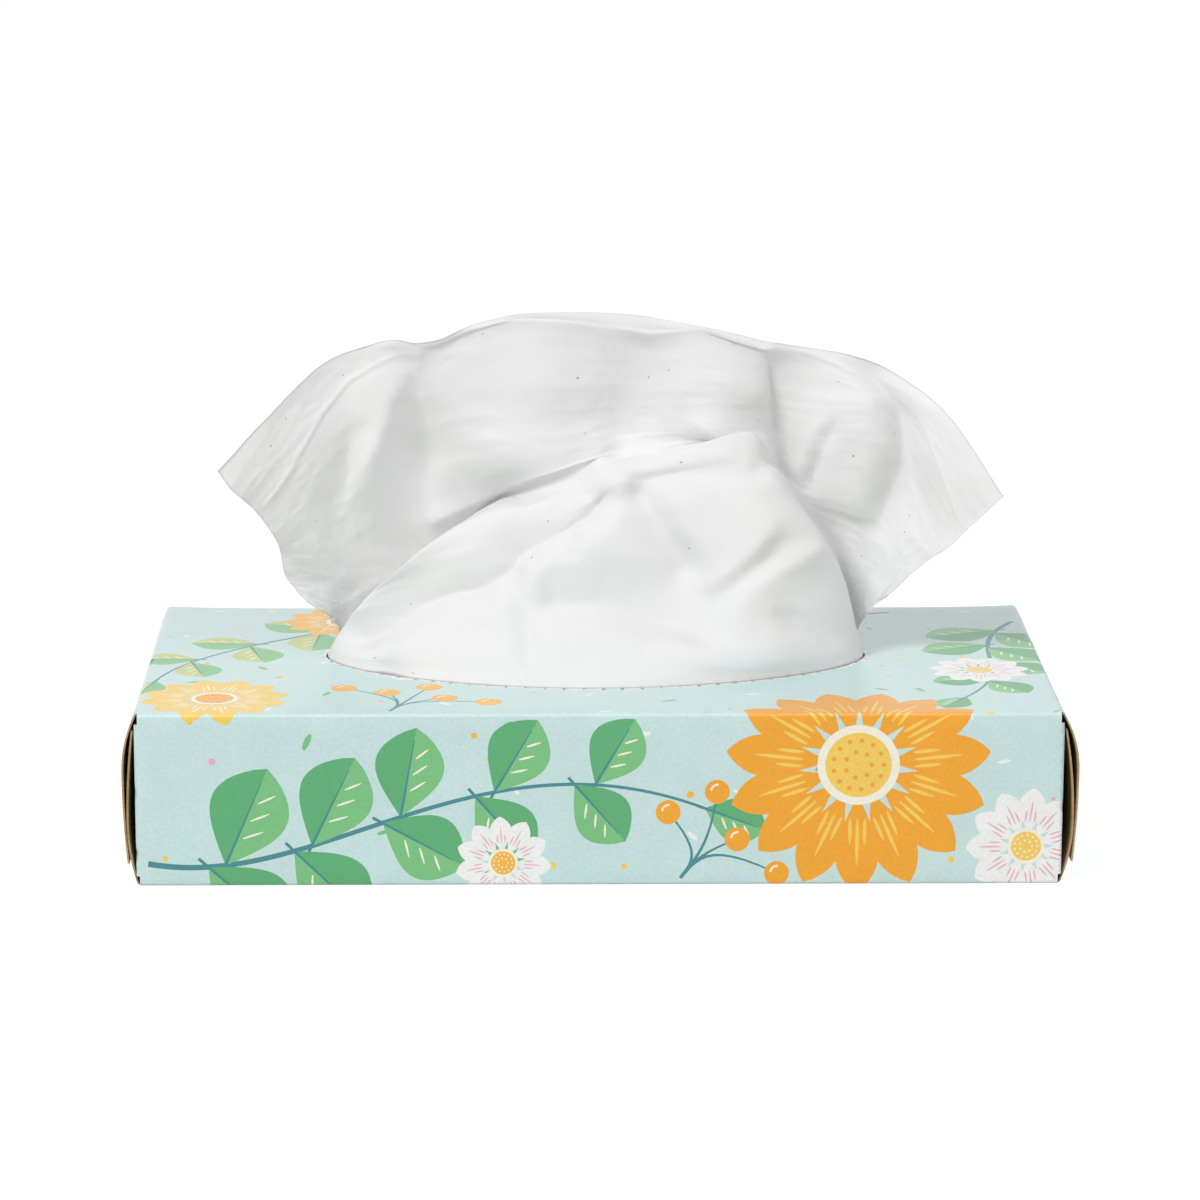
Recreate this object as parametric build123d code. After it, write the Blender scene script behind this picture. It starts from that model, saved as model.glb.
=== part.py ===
"""A flat tissue box: a folded carton, its glue, the pile of tissues and the sheet that stands up.

The box stands on its bottom panel. The origin is at the centre of that panel's underside, +X runs
along the box, +Y goes from the front panel to the back panel and +Z is up. Lengths are in mm.
"""
from build123d import *
from math import asin, atan, atan2, cos, degrees, pi, sin, sqrt
import os

# Carton panels
panel_length = 230.0  # between the creases of the two ends
box_depth = 115.0  # front panel to back panel
box_height = 44.0
board = 0.45  # thickness of the paperboard
crease_radius = 0.9  # outside radius of every fold

# Seam that closes the sleeve, inside the bottom panel along its back edge
seam_flap_width = 16.0
seam_glue_film = 0.15
seam_glue_width = 8.0
seam_glue_end_margin = 12.0

# Closing flaps, bowed outwards by the pile: one hangs from the top panel, one rises from the bottom
right_bow_depth = 4.0
left_bow_depth = 3.3
closing_flap_side_relief = 0.4
outer_flap_tip_gap = 5.5  # from the floor up to its free edge
outer_flap_bow_level = 15.0  # from the top panel down to where it stands out most
outer_flap_tip_depth = 1.1  # how far its free edge lies back from there
inner_flap_tip_gap = 4.5  # from the top of the box down to its free edge
inner_flap_bow_level = 16.0  # from the bottom panel up to where it stands out most
inner_flap_tip_offset = 0.75  # its free edge, out from the end creases
end_glue_film = 0.15
end_glue_clearance = 0.12  # from the inner flap, so that the bead doesn't press into it
end_glue_height = 5.0
end_glue_width = 80.0

# Dust flaps, folded in first from the front and back panels
dust_flap_length = 32.0
dust_flap_relief = 2.5
dust_flap_taper = 5.0

# Torn-out opening in the top panel: an oval with rather pointed ends, a little behind the middle
opening_half_width = 70.0
opening_half_depth = 36.5
opening_offset = 4.0  # its middle, back from the middle of the panel
opening_roundness = 1.8  # 2 is an ellipse, less is more pointed
opening_outline_steps = 48
perforation_pitch = 4.85  # the tearing line's cuts leave a notch at every pitch
perforation_notch_width = 0.6
perforation_notch_depth = 0.5

# Pile of interfolded tissues
pile_end_clearance = 3.5
pile_side_clearance = 4.5
pile_seat_clearance = 0.2
pile_head_room = 5.0
pile_edge_radius = 6.0

# Standing sheet, drawn half out of the pile
sheet_thickness = 0.4
sheet_clearance = 0.7  # from the opening's edge
sheet_pile_gap = 0.25
facets_per_gap = 2  # flat facets of the creased paper between two points of its net, each way
sheet_back_margin = 5.5  # from the pile's back to the sheet's hidden edge
sheet_bend_height = 1.0  # how far the sheet stands off the pile where it turns back
fan_half_width = 100.0
fan_height = 90.0  # from the top panel to the crown of the fan
fan_depth = 40.0

# Worked out from the sizes above
crease_line = panel_length / 2 - crease_radius  # where the flaps' folds begin
core_radius = crease_radius - board / 2  # radius of a fold in the middle of the board
seam_lift = board + seam_glue_film
pile_floor = board + seam_lift + pile_seat_clearance
pile_height = box_height - board - pile_floor - pile_head_room
pile_top = pile_floor + pile_height
pile_length = panel_length - 2 * (board + pile_end_clearance)
pile_depth = box_depth - 2 * (board + pile_side_clearance)
outer_flap_length = box_height - outer_flap_tip_gap
inner_flap_length = box_height - inner_flap_tip_gap
sheet_back_y = pile_depth / 2 - sheet_back_margin

# The sheet's net. A row runs from the left edge to the right edge, and the rows go down from the
# free edge of the fan to just above the opening. Each point is (along, back, up), as shares of the
# fan's half width, of its depth and of its height. The front fold's rim runs down the sixth and
# the twelfth columns, and the hollows behind it down the fifth and the thirteenth.
fan_row_shares = (
    ((-0.96, -0.35, 0.58), (-0.82, -0.23, 0.74), (-0.70, -0.10, 0.86), (-0.57, 0.03, 0.92),
     (-0.49, 0.10, 0.92), (-0.40, 0.12, 0.94), (-0.30, 0.12, 0.97), (-0.15, 0.14, 0.99),
     (0.07, 0.17, 0.99), (0.26, 0.12, 0.96), (0.38, 0.10, 0.94), (0.45, 0.12, 0.92),
     (0.53, 0.10, 0.90), (0.65, 0.03, 0.88), (0.76, 0.03, 0.83), (0.89, -0.20, 0.73),
     (1.03, -0.40, 0.51)),
    ((-0.93, -0.34, 0.53), (-0.80, -0.20, 0.71), (-0.68, -0.07, 0.83), (-0.56, 0.03, 0.89),
     (-0.48, 0.10, 0.89), (-0.40, 0.12, 0.91), (-0.30, 0.11, 0.94), (-0.15, 0.12, 0.96),
     (0.07, 0.16, 0.95), (0.26, 0.11, 0.93), (0.37, 0.10, 0.91), (0.44, 0.12, 0.89),
     (0.52, 0.10, 0.88), (0.63, 0.03, 0.85), (0.74, 0.03, 0.80), (0.87, -0.20, 0.71),
     (1.00, -0.40, 0.48)),
    ((-0.87, -0.30, 0.46), (-0.75, -0.15, 0.59), (-0.64, -0.05, 0.70), (-0.54, -0.03, 0.76),
     (-0.46, 0.10, 0.75), (-0.38, 0.05, 0.76), (-0.29, 0.00, 0.78), (-0.13, -0.03, 0.79),
     (0.09, 0.10, 0.79), (0.28, -0.03, 0.80), (0.39, 0.03, 0.79), (0.44, 0.12, 0.77),
     (0.55, 0.05, 0.75), (0.69, -0.05, 0.75), (0.78, 0.05, 0.71), (0.85, -0.20, 0.60),
     (0.95, -0.35, 0.42)),
    ((-0.82, -0.23, 0.37), (-0.72, -0.05, 0.44), (-0.65, 0.05, 0.49), (-0.57, -0.03, 0.55),
     (-0.45, 0.20, 0.50), (-0.37, 0.07, 0.57), (-0.27, -0.05, 0.60), (-0.13, -0.07, 0.62),
     (0.09, 0.05, 0.66), (0.29, -0.10, 0.68), (0.41, 0.03, 0.66), (0.46, 0.15, 0.64),
     (0.55, 0.05, 0.60), (0.69, -0.07, 0.62), (0.79, 0.10, 0.57), (0.84, -0.12, 0.45),
     (0.89, -0.30, 0.35)),
    ((-0.81, -0.15, 0.32), (-0.72, 0.03, 0.30), (-0.65, 0.12, 0.31), (-0.55, 0.20, 0.31),
     (-0.43, 0.28, 0.29), (-0.33, 0.25, 0.38), (-0.25, 0.20, 0.45), (-0.13, -0.03, 0.53),
     (0.06, -0.03, 0.60), (0.29, -0.10, 0.63), (0.42, -0.05, 0.62), (0.48, 0.15, 0.55),
     (0.54, 0.15, 0.47), (0.66, 0.07, 0.46), (0.75, 0.15, 0.43), (0.79, -0.07, 0.34),
     (0.84, -0.20, 0.30)),
    ((-0.80, -0.07, 0.25), (-0.73, 0.10, 0.22), (-0.66, 0.17, 0.20), (-0.59, 0.23, 0.19),
     (-0.52, 0.20, 0.18), (-0.50, -0.12, 0.32), (-0.33, -0.12, 0.44), (-0.13, -0.20, 0.48),
     (0.05, -0.23, 0.56), (0.27, -0.25, 0.58), (0.42, -0.23, 0.58), (0.49, -0.10, 0.52),
     (0.56, 0.20, 0.40), (0.65, 0.17, 0.36), (0.71, 0.12, 0.32), (0.76, 0.00, 0.26),
     (0.78, -0.10, 0.23)),
    ((-0.77, 0.00, 0.20), (-0.72, 0.12, 0.17), (-0.67, 0.20, 0.14), (-0.63, 0.23, 0.13),
     (-0.59, 0.20, 0.12), (-0.60, -0.10, 0.21), (-0.43, -0.20, 0.28), (-0.22, -0.33, 0.33),
     (0.01, -0.35, 0.45), (0.26, -0.35, 0.41), (0.44, -0.33, 0.43), (0.56, -0.15, 0.40),
     (0.61, 0.23, 0.29), (0.66, 0.20, 0.25), (0.70, 0.15, 0.23), (0.73, 0.05, 0.19),
     (0.75, 0.00, 0.18)),
    ((-0.73, 0.07, 0.15), (-0.70, 0.15, 0.13), (-0.67, 0.20, 0.10), (-0.64, 0.23, 0.08),
     (-0.63, 0.17, 0.08), (-0.65, -0.07, 0.12), (-0.50, -0.25, 0.16), (-0.27, -0.45, 0.15),
     (-0.02, -0.50, 0.22), (0.26, -0.38, 0.24), (0.43, -0.40, 0.26), (0.62, -0.12, 0.26),
     (0.65, 0.23, 0.17), (0.67, 0.20, 0.16), (0.69, 0.15, 0.15), (0.71, 0.10, 0.15),
     (0.72, 0.07, 0.15)),
    ((-0.70, 0.12, 0.12), (-0.68, 0.17, 0.10), (-0.67, 0.20, 0.07), (-0.65, 0.20, 0.06),
     (-0.64, 0.15, 0.05), (-0.68, 0.00, 0.04), (-0.56, -0.33, 0.06), (-0.30, -0.60, 0.05),
     (-0.03, -0.70, 0.06), (0.27, -0.65, 0.08), (0.48, -0.53, 0.09), (0.66, -0.07, 0.09),
     (0.67, 0.20, 0.08), (0.68, 0.20, 0.09), (0.69, 0.15, 0.10), (0.70, 0.12, 0.11),
     (0.70, 0.10, 0.12)),
)

# Where the same seventeen columns pass the opening's edge: shares of a turn round the oval, from
# behind its left end (0.44) by its front (0.75) to behind its right end (1.055)
opening_turn_shares = (
    0.44, 0.45, 0.46, 0.47, 0.48, 0.503, 0.55, 0.63, 0.73,
    0.82, 0.90, 0.985, 1.015, 1.025, 1.035, 1.045, 1.055,
)

# The columns' places across the flat sheet, as shares of its half width
sheet_column_shares = (
    -1.0, -0.83, -0.67, -0.54, -0.46, -0.38, -0.29, -0.16, 0.02,
    0.18, 0.29, 0.36, 0.43, 0.53, 0.63, 0.79, 1.0,
)

# Rows on the pile: how far each has spread from the opening's outline to the flat sheet, and its
# share of the bend's height
pile_row_shares = ((0.08, 1.0), (0.35, 0.0), (0.7, 0.0), (1.0, 0.0))


def opening_point(turn_share, inset=0.0):
    """A point of the oval, at a share of a full turn from its right end, set in from its edge."""
    angle = 2 * pi * turn_share
    along, back = cos(angle), sin(angle)
    size = (abs(along) ** opening_roundness + abs(back) ** opening_roundness) ** (-1 / opening_roundness)
    return (
        (opening_half_width - inset) * size * along,
        opening_offset + (opening_half_depth - inset) * size * back,
    )


def sleeve():
    """The four panels and the seam flap: one strip of board, seen from the end, drawn out long."""
    back_y = box_depth / 2 - board / 2
    top_z = box_height - board / 2
    centre_line = FilletPolyline(
        (back_y - seam_flap_width, seam_lift + board / 2),
        (back_y, seam_lift + board / 2),
        (back_y, top_z),
        (-back_y, top_z),
        (-back_y, board / 2),
        (box_depth / 2 - crease_radius, board / 2),
        radius=core_radius,
    )
    section = Plane.YZ * trace(centre_line, board)
    return extrude(section, amount=crease_line, both=True)


def tip_arc_radius(rise, drop):
    """Radius of an arc that starts upright and has drawn back by a drop after a rise."""
    return (rise**2 + drop**2) / (2 * drop)


def bowed_flap(bow, bow_level, tip_offset, length):
    """A closing flap at the right end that rises from the bottom panel and bows outwards.

    Its outside is three arcs that run into each other: the fold, the swell up to where it stands
    out most, and the flatter stretch to its free edge.
    """
    swell = bow_level - crease_radius
    lean = 2 * atan(bow / swell)
    near_radius = crease_radius + swell / sin(lean)
    far_rise = length - bow_level
    far_radius = tip_arc_radius(far_rise, bow - tip_offset)
    reach = near_radius - crease_radius
    fold_centre = (crease_line, crease_radius)
    near_centre = (crease_line - reach * cos(lean), crease_radius + reach * sin(lean))
    far_centre = (near_centre[0] + near_radius - far_radius, bow_level)
    fold_turn = 90 - degrees(lean)
    tip_turn = degrees(asin(far_rise / far_radius))

    def side(depth):
        """One face of the flap, a depth inwards from its outside."""
        return [
            CenterArc(fold_centre, crease_radius - depth, -90, fold_turn),
            CenterArc(near_centre, near_radius - depth, -degrees(lean), degrees(lean)),
            CenterArc(far_centre, far_radius - depth, 0, tip_turn),
        ]

    outside, inside = side(0), side(board)
    root = Line(outside[0] @ 0, inside[0] @ 0)
    tip = Line(outside[-1] @ 1, inside[-1] @ 1)
    profile = make_face(outside + inside + [root, tip])
    half_width = box_depth / 2 - crease_radius - closing_flap_side_relief
    return extrude(Plane.XZ * profile, amount=half_width, both=True), far_centre, far_radius


def outer_flap(bow):
    """The flap that hangs from the top panel, with the centre and radius of its lower stretch."""
    flap, centre, radius = bowed_flap(
        bow, outer_flap_bow_level, bow - outer_flap_tip_depth, outer_flap_length
    )
    mid_plane = Plane.XY.offset(box_height / 2)
    return mirror(flap, about=mid_plane), (centre[0], box_height - centre[1]), radius


def inner_flap(bow):
    """The flap that rises from the bottom panel and bows out as far as the glue behind the outer one."""
    radius = tip_arc_radius(outer_flap_length - outer_flap_bow_level, outer_flap_tip_depth)
    below_bow = box_height - outer_flap_bow_level - inner_flap_bow_level
    outer_drawn_back = radius - sqrt(radius**2 - below_bow**2)
    own_bow = bow - outer_drawn_back - board - end_glue_film - end_glue_clearance
    return bowed_flap(own_bow, inner_flap_bow_level, inner_flap_tip_offset, inner_flap_length)[0]


def dust_flap():
    """The flap folded in from the front panel at the right end, narrower towards its free edge."""
    panel_y = -box_depth / 2 + board / 2
    end_x = panel_length / 2 - board / 2
    free_y = -box_depth / 2 + dust_flap_length
    centre_line = FilletPolyline(
        (crease_line - crease_radius, panel_y), (end_x, panel_y), (end_x, free_y), radius=core_radius
    )
    low, high = dust_flap_relief, box_height - dust_flap_relief
    slab = Pos(0, 0, low) * extrude(trace(centre_line, board), amount=high - low)
    outline = Polyline(
        (-box_depth / 2, low),
        (free_y, low + dust_flap_taper),
        (free_y, high - dust_flap_taper),
        (-box_depth / 2, high),
        close=True,
    )
    return slab & extrude(Plane.YZ * make_face(outline), amount=panel_length)


def end_closure(bow):
    """All four flaps of the right end."""
    front_dust = dust_flap()
    return [outer_flap(bow)[0], inner_flap(bow), front_dust, mirror(front_dust, about=Plane.XZ)]


def opening_cutter():
    """The torn-out oval with its notches, tall enough to pass the top panel."""
    turns = [step / opening_outline_steps for step in range(opening_outline_steps)]
    outline = Spline(*[opening_point(turn) for turn in turns], periodic=True)
    oval = make_face(outline)
    notch = Rectangle(perforation_notch_width, 2 * perforation_notch_depth)
    count = round(outline.length / perforation_pitch)
    notches = []
    for number in range(count):
        place, heading = outline @ (number / count), outline % (number / count)
        notches.append(Pos(place) * Rot(0, 0, degrees(atan2(heading.Y, heading.X))) * notch)
    torn_out = Pos(0, 0, box_height) * (oval + notches)
    return extrude(torn_out, amount=crease_radius, both=True)


def carton():
    """The folded blank, as one solid."""
    left_flaps = [mirror(flap, about=Plane.YZ) for flap in end_closure(left_bow_depth)]
    blank = sleeve()
    for flap in end_closure(right_bow_depth) + left_flaps:
        blank += flap
    return blank - opening_cutter()


def side_seam_glue():
    """The glue line between the seam flap and the bottom panel."""
    middle_y = box_depth / 2 - crease_radius - seam_flap_width / 2
    line = Box(
        panel_length - 2 * seam_glue_end_margin,
        seam_glue_width,
        seam_glue_film,
        align=(Align.CENTER, Align.CENTER, Align.MIN),
    )
    return Pos(0, middle_y, board) * line


def end_glue(bow):
    """The bead on the inside of the outer flap at the right end, where the inner flap meets it."""
    centre, radius = outer_flap(bow)[1:]
    inside = radius - board
    middle = inner_flap_bow_level - centre[1]
    low = degrees(asin((middle - end_glue_height / 2) / inside))
    high = degrees(asin((middle + end_glue_height / 2) / inside))
    near = CenterArc(centre, inside, low, high - low)
    far = CenterArc(centre, inside - end_glue_film, low, high - low)
    profile = make_face([near, far, Line(near @ 0, far @ 0), Line(near @ 1, far @ 1)])
    return extrude(Plane.XZ * profile, amount=end_glue_width / 2, both=True)


def tissue_stack():
    """The pile of interfolded sheets: rounded along its folded sides, square at its cut ends."""
    section = Pos(0, pile_floor + pile_height / 2) * RectangleRounded(
        pile_depth, pile_height, pile_edge_radius
    )
    return extrude(Plane.YZ * section, amount=pile_length / 2, both=True)


def standing_rows():
    """The rows of the fan and its front fold, as points above the top panel."""
    return [
        [
            Vector(along * fan_half_width, back * fan_depth, box_height + up * fan_height)
            for along, back, up in row
        ]
        for row in fan_row_shares
    ]


def opening_rows():
    """Two rows at the opening: level with the top panel's face, and just below the board."""
    inset = sheet_clearance + sheet_thickness / 2
    edge = [opening_point(turn, inset) for turn in opening_turn_shares]
    return [[Vector(x, y, height) for x, y in edge] for height in (box_height, box_height - 2 * board)]


def pile_rows():
    """The rows inside the box, where the sheet turns back and spreads out flat on the pile."""
    lying = pile_top + sheet_pile_gap + sheet_thickness / 2
    inset = sheet_clearance + sheet_thickness / 2
    rows = []
    for spread, lift in pile_row_shares:
        height = lying + lift * sheet_bend_height
        row = []
        for turn, column in zip(opening_turn_shares, sheet_column_shares):
            x, y = opening_point(turn, inset)
            flat_x = column * pile_length / 2
            row.append(Vector(x + (flat_x - x) * spread, y + (sheet_back_y - y) * spread, height))
        rows.append(row)
    return rows


def row_normals(rows):
    """The sheet's facing direction at every point of the net, from its neighbours."""
    last_row, last_column = len(rows) - 1, len(rows[0]) - 1
    normals = []
    for i, row in enumerate(rows):
        line = []
        for j in range(len(row)):
            across = row[min(j + 1, last_column)] - row[max(j - 1, 0)]
            down = rows[min(i + 1, last_row)][j] - rows[max(i - 1, 0)][j]
            line.append(across.cross(down).normalized())
        normals.append(line)
    return normals


def row_distances(rows):
    """How far down the sheet each row lies, from the mean gap between neighbouring rows."""
    distances = [0.0]
    for row, next_row in zip(rows, rows[1:]):
        gaps = [(lower - upper).length for upper, lower in zip(row, next_row)]
        distances.append(distances[-1] + sum(gaps) / len(gaps))
    return distances


def smooth_line(points, places):
    """Points on a smooth curve through points at uneven places, a few for each gap."""
    last = len(points) - 1
    slopes = []
    for j in range(last + 1):
        before, after = max(j - 1, 0), min(j + 1, last)
        slopes.append((points[after] - points[before]) * (1 / (places[after] - places[before])))
    line = [points[0]]
    for j in range(last):
        gap = places[j + 1] - places[j]
        for step in range(1, facets_per_gap + 1):
            t = step / facets_per_gap
            blend = t**2 * (3 - 2 * t)
            near = points[j] * (1 - blend) + slopes[j] * (gap * t * (1 - t) ** 2)
            far = points[j + 1] * blend - slopes[j + 1] * (gap * t**2 * (1 - t))
            line.append(near + far)
    return line


def smooth_net(rows, places):
    """The net filled in along smooth curves, first across, then down."""
    across = [smooth_line(row, sheet_column_shares) for row in rows]
    down = [smooth_line(list(column), places) for column in zip(*across)]
    return [list(row) for row in zip(*down)]


def creased_faces(net):
    """Flat triangles over the net, each cell creased along its shorter diagonal, as paper does."""
    faces = []
    for row, next_row in zip(net, net[1:]):
        for a, b, d, c in zip(row, row[1:], next_row, next_row[1:]):
            if (a - c).length < (b - d).length:
                faces += [flat_triangle(a, b, c), flat_triangle(a, c, d)]
            else:
                faces += [flat_triangle(a, b, d), flat_triangle(b, c, d)]
    return faces


def flat_triangle(a, b, c):
    """One small face between three points."""
    return Face(Wire.make_polygon([a, b, c]))


def popup_tissue():
    """The sheet, as a thin solid: its front, its back and the four narrow edges that close it."""
    rows = standing_rows() + opening_rows() + pile_rows()
    normals = row_normals(rows)
    places = row_distances(rows)

    def net_at(offset):
        """The sheet's net, moved by an offset along its own normals."""
        moved = [
            [point + normal * offset for point, normal in zip(row, line)]
            for row, line in zip(rows, normals)
        ]
        return smooth_net(moved, places)

    front, back = net_at(sheet_thickness / 2), net_at(-sheet_thickness / 2)
    faces = creased_faces(front) + creased_faces(back)
    for end in (0, -1):
        faces += creased_faces([front[end], back[end]])
        faces += creased_faces([[row[end] for row in front], [row[end] for row in back]])
    return Solid(Shell(faces))


os.makedirs("parts", exist_ok=True)
export_step(carton(), "parts/carton.step")
export_step(side_seam_glue(), "parts/side_seam_glue.step")
export_step(end_glue(right_bow_depth), "parts/right_end_glue.step")
export_step(mirror(end_glue(left_bow_depth), about=Plane.YZ), "parts/left_end_glue.step")
export_step(tissue_stack(), "parts/tissue_stack.step")
export_step(popup_tissue(), "parts/popup_tissue.step")
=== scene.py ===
"""Looks of a flat tissue box: printed carton, pile of tissues and the sheet drawn half out of it.

The frame is the CAD model's: X along the box, Y from the front panel to the back panel, Z up, and
the origin under the middle of the box. Classes hold their sizes in millimetres, and meshes are
written in metres.
"""

import logging
import math
from dataclasses import dataclass
from enum import Enum

import bpy
import numpy as np
from mathutils import Matrix
from mathutils.geometry import delaunay_2d_cdt


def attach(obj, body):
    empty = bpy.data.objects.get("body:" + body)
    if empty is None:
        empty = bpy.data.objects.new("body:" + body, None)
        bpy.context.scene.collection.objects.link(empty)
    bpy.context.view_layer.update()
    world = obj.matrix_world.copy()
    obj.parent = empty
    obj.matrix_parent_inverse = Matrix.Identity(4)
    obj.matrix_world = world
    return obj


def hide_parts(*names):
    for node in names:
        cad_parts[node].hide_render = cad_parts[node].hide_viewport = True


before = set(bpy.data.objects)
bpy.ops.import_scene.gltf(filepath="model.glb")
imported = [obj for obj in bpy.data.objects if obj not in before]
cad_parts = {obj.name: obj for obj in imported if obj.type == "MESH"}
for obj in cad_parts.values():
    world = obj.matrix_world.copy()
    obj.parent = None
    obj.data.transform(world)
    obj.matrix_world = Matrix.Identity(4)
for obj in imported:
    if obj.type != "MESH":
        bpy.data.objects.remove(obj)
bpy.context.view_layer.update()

MILLIMETRE = 0.001
BODY = "root"

# Short names for types: a pattern is its size in millimetres, its detail and its roughness
Tree = bpy.types.NodeTree
Socket = bpy.types.NodeSocket
Flat = tuple[float, float]
Place = tuple[float, float, float]
Pattern = tuple[float, float, float]
Cells = tuple[int, int]

log = logging.getLogger("tissue_box")


class Ink(Enum):
    """Colours of the print on the carton."""

    GROUND = "#C7E2E0"
    ORANGE = "#F1A40C"
    AMBER = "#F6B72F"
    GOLD = "#F4CD57"
    CREAM = "#F7F3E0"
    WHITE = "#F3F4F2"
    LEAF = "#74BD7A"
    DEEP_LEAF = "#51A86C"
    OLIVE = "#C2CE7D"
    TEAL = "#348289"
    PINK = "#E8ADC0"
    FIBRE = "#F3EFE4"


def linear(colour: str) -> tuple[float, float, float, float]:
    """Turn an sRGB hex colour into linear light.

    Args:
        colour: The colour as #RRGGBB.

    Returns:
        Red, green, blue and a full alpha.
    """
    channels = [int(colour[place : place + 2], 16) / 255 for place in (1, 3, 5)]
    light = [c / 12.92 if c <= 0.04045 else ((c + 0.055) / 1.055) ** 2.4 for c in channels]
    return (light[0], light[1], light[2], 1.0)


def add_node(
    tree: Tree, kind: str, inputs: dict | None = None, output: str = "", **settings: object
) -> Socket | None:
    """Add a shader node with its settings, values and links.

    Args:
        tree: The material's node tree.
        kind: The node's type name.
        inputs: A value, or an output socket to link from, by the input's name or number.
        output: The output to hand back, or nothing for the first one in use.
        settings: The node's own properties.

    Returns:
        The output, or nothing for a node without one.
    """
    node = tree.nodes.new(kind)
    for name, value in settings.items():
        setattr(node, name, value)
    for name, value in (inputs or {}).items():
        if isinstance(value, Socket):
            tree.links.new(value, node.inputs[name])
        else:
            node.inputs[name].default_value = value
    if output:
        return node.outputs[output]
    return next((socket for socket in node.outputs if socket.enabled), None)


def fresh_tree(owner: bpy.types.Material | bpy.types.World) -> Tree:
    """Give a material or a world an empty node tree.

    Args:
        owner: The material or world.

    Returns:
        Its tree.
    """
    owner.use_nodes = True
    owner.node_tree.nodes.clear()
    return owner.node_tree


def per_metre(millimetres: float) -> float:
    """Texture scale that gives a pattern this size on coordinates in metres."""
    return 1 / (millimetres * MILLIMETRE)


def smooth_step(low: float, high: float, value: np.ndarray) -> np.ndarray:
    """Rise smoothly from 0 at low to 1 at high."""
    share = np.clip((value - low) / (high - low), 0, 1)
    return share * share * (3 - 2 * share)


def soft_noise(rng: np.random.Generator, shape: Cells, cells: Cells) -> np.ndarray:
    """Smooth random heights on a grid.

    Random heights at the corners of coarse cells are blended by a smooth step along both sides.

    Args:
        rng: The seeded generator.
        shape: Rows and columns of the grid.
        cells: Coarse cells down and across.

    Returns:
        Heights of about -1 to 1.
    """
    coarse = rng.uniform(-1, 1, (cells[0] + 2, cells[1] + 2))
    down = np.linspace(0, cells[0], shape[0])
    across = np.linspace(0, cells[1], shape[1])
    row, column = down.astype(int), across.astype(int)
    blend_down = smooth_step(0, 1, down - row)[:, None]
    blend_across = smooth_step(0, 1, across - column)[None, :]
    upper = coarse[np.ix_(row, column)] * (1 - blend_across)
    upper = upper + coarse[np.ix_(row, column + 1)] * blend_across
    lower = coarse[np.ix_(row + 1, column)] * (1 - blend_across)
    lower = lower + coarse[np.ix_(row + 1, column + 1)] * blend_across
    return upper * (1 - blend_down) + lower * blend_down


@dataclass(frozen=True)
class Finish:
    """What a surface is made of, and how its surface was made."""

    name: str

    def surface(self, tree: Tree) -> Socket:
        """Add the finish's own nodes.

        Args:
            tree: The material's node tree.

        Returns:
            The finished shader.
        """
        raise NotImplementedError

    def material(self) -> bpy.types.Material:
        """Build the material.

        Returns:
            The material, with the finish's nodes.
        """
        material = bpy.data.materials.new(self.name)
        tree = fresh_tree(material)
        add_node(tree, "ShaderNodeOutputMaterial", {"Surface": self.surface(tree)})
        return material


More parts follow.
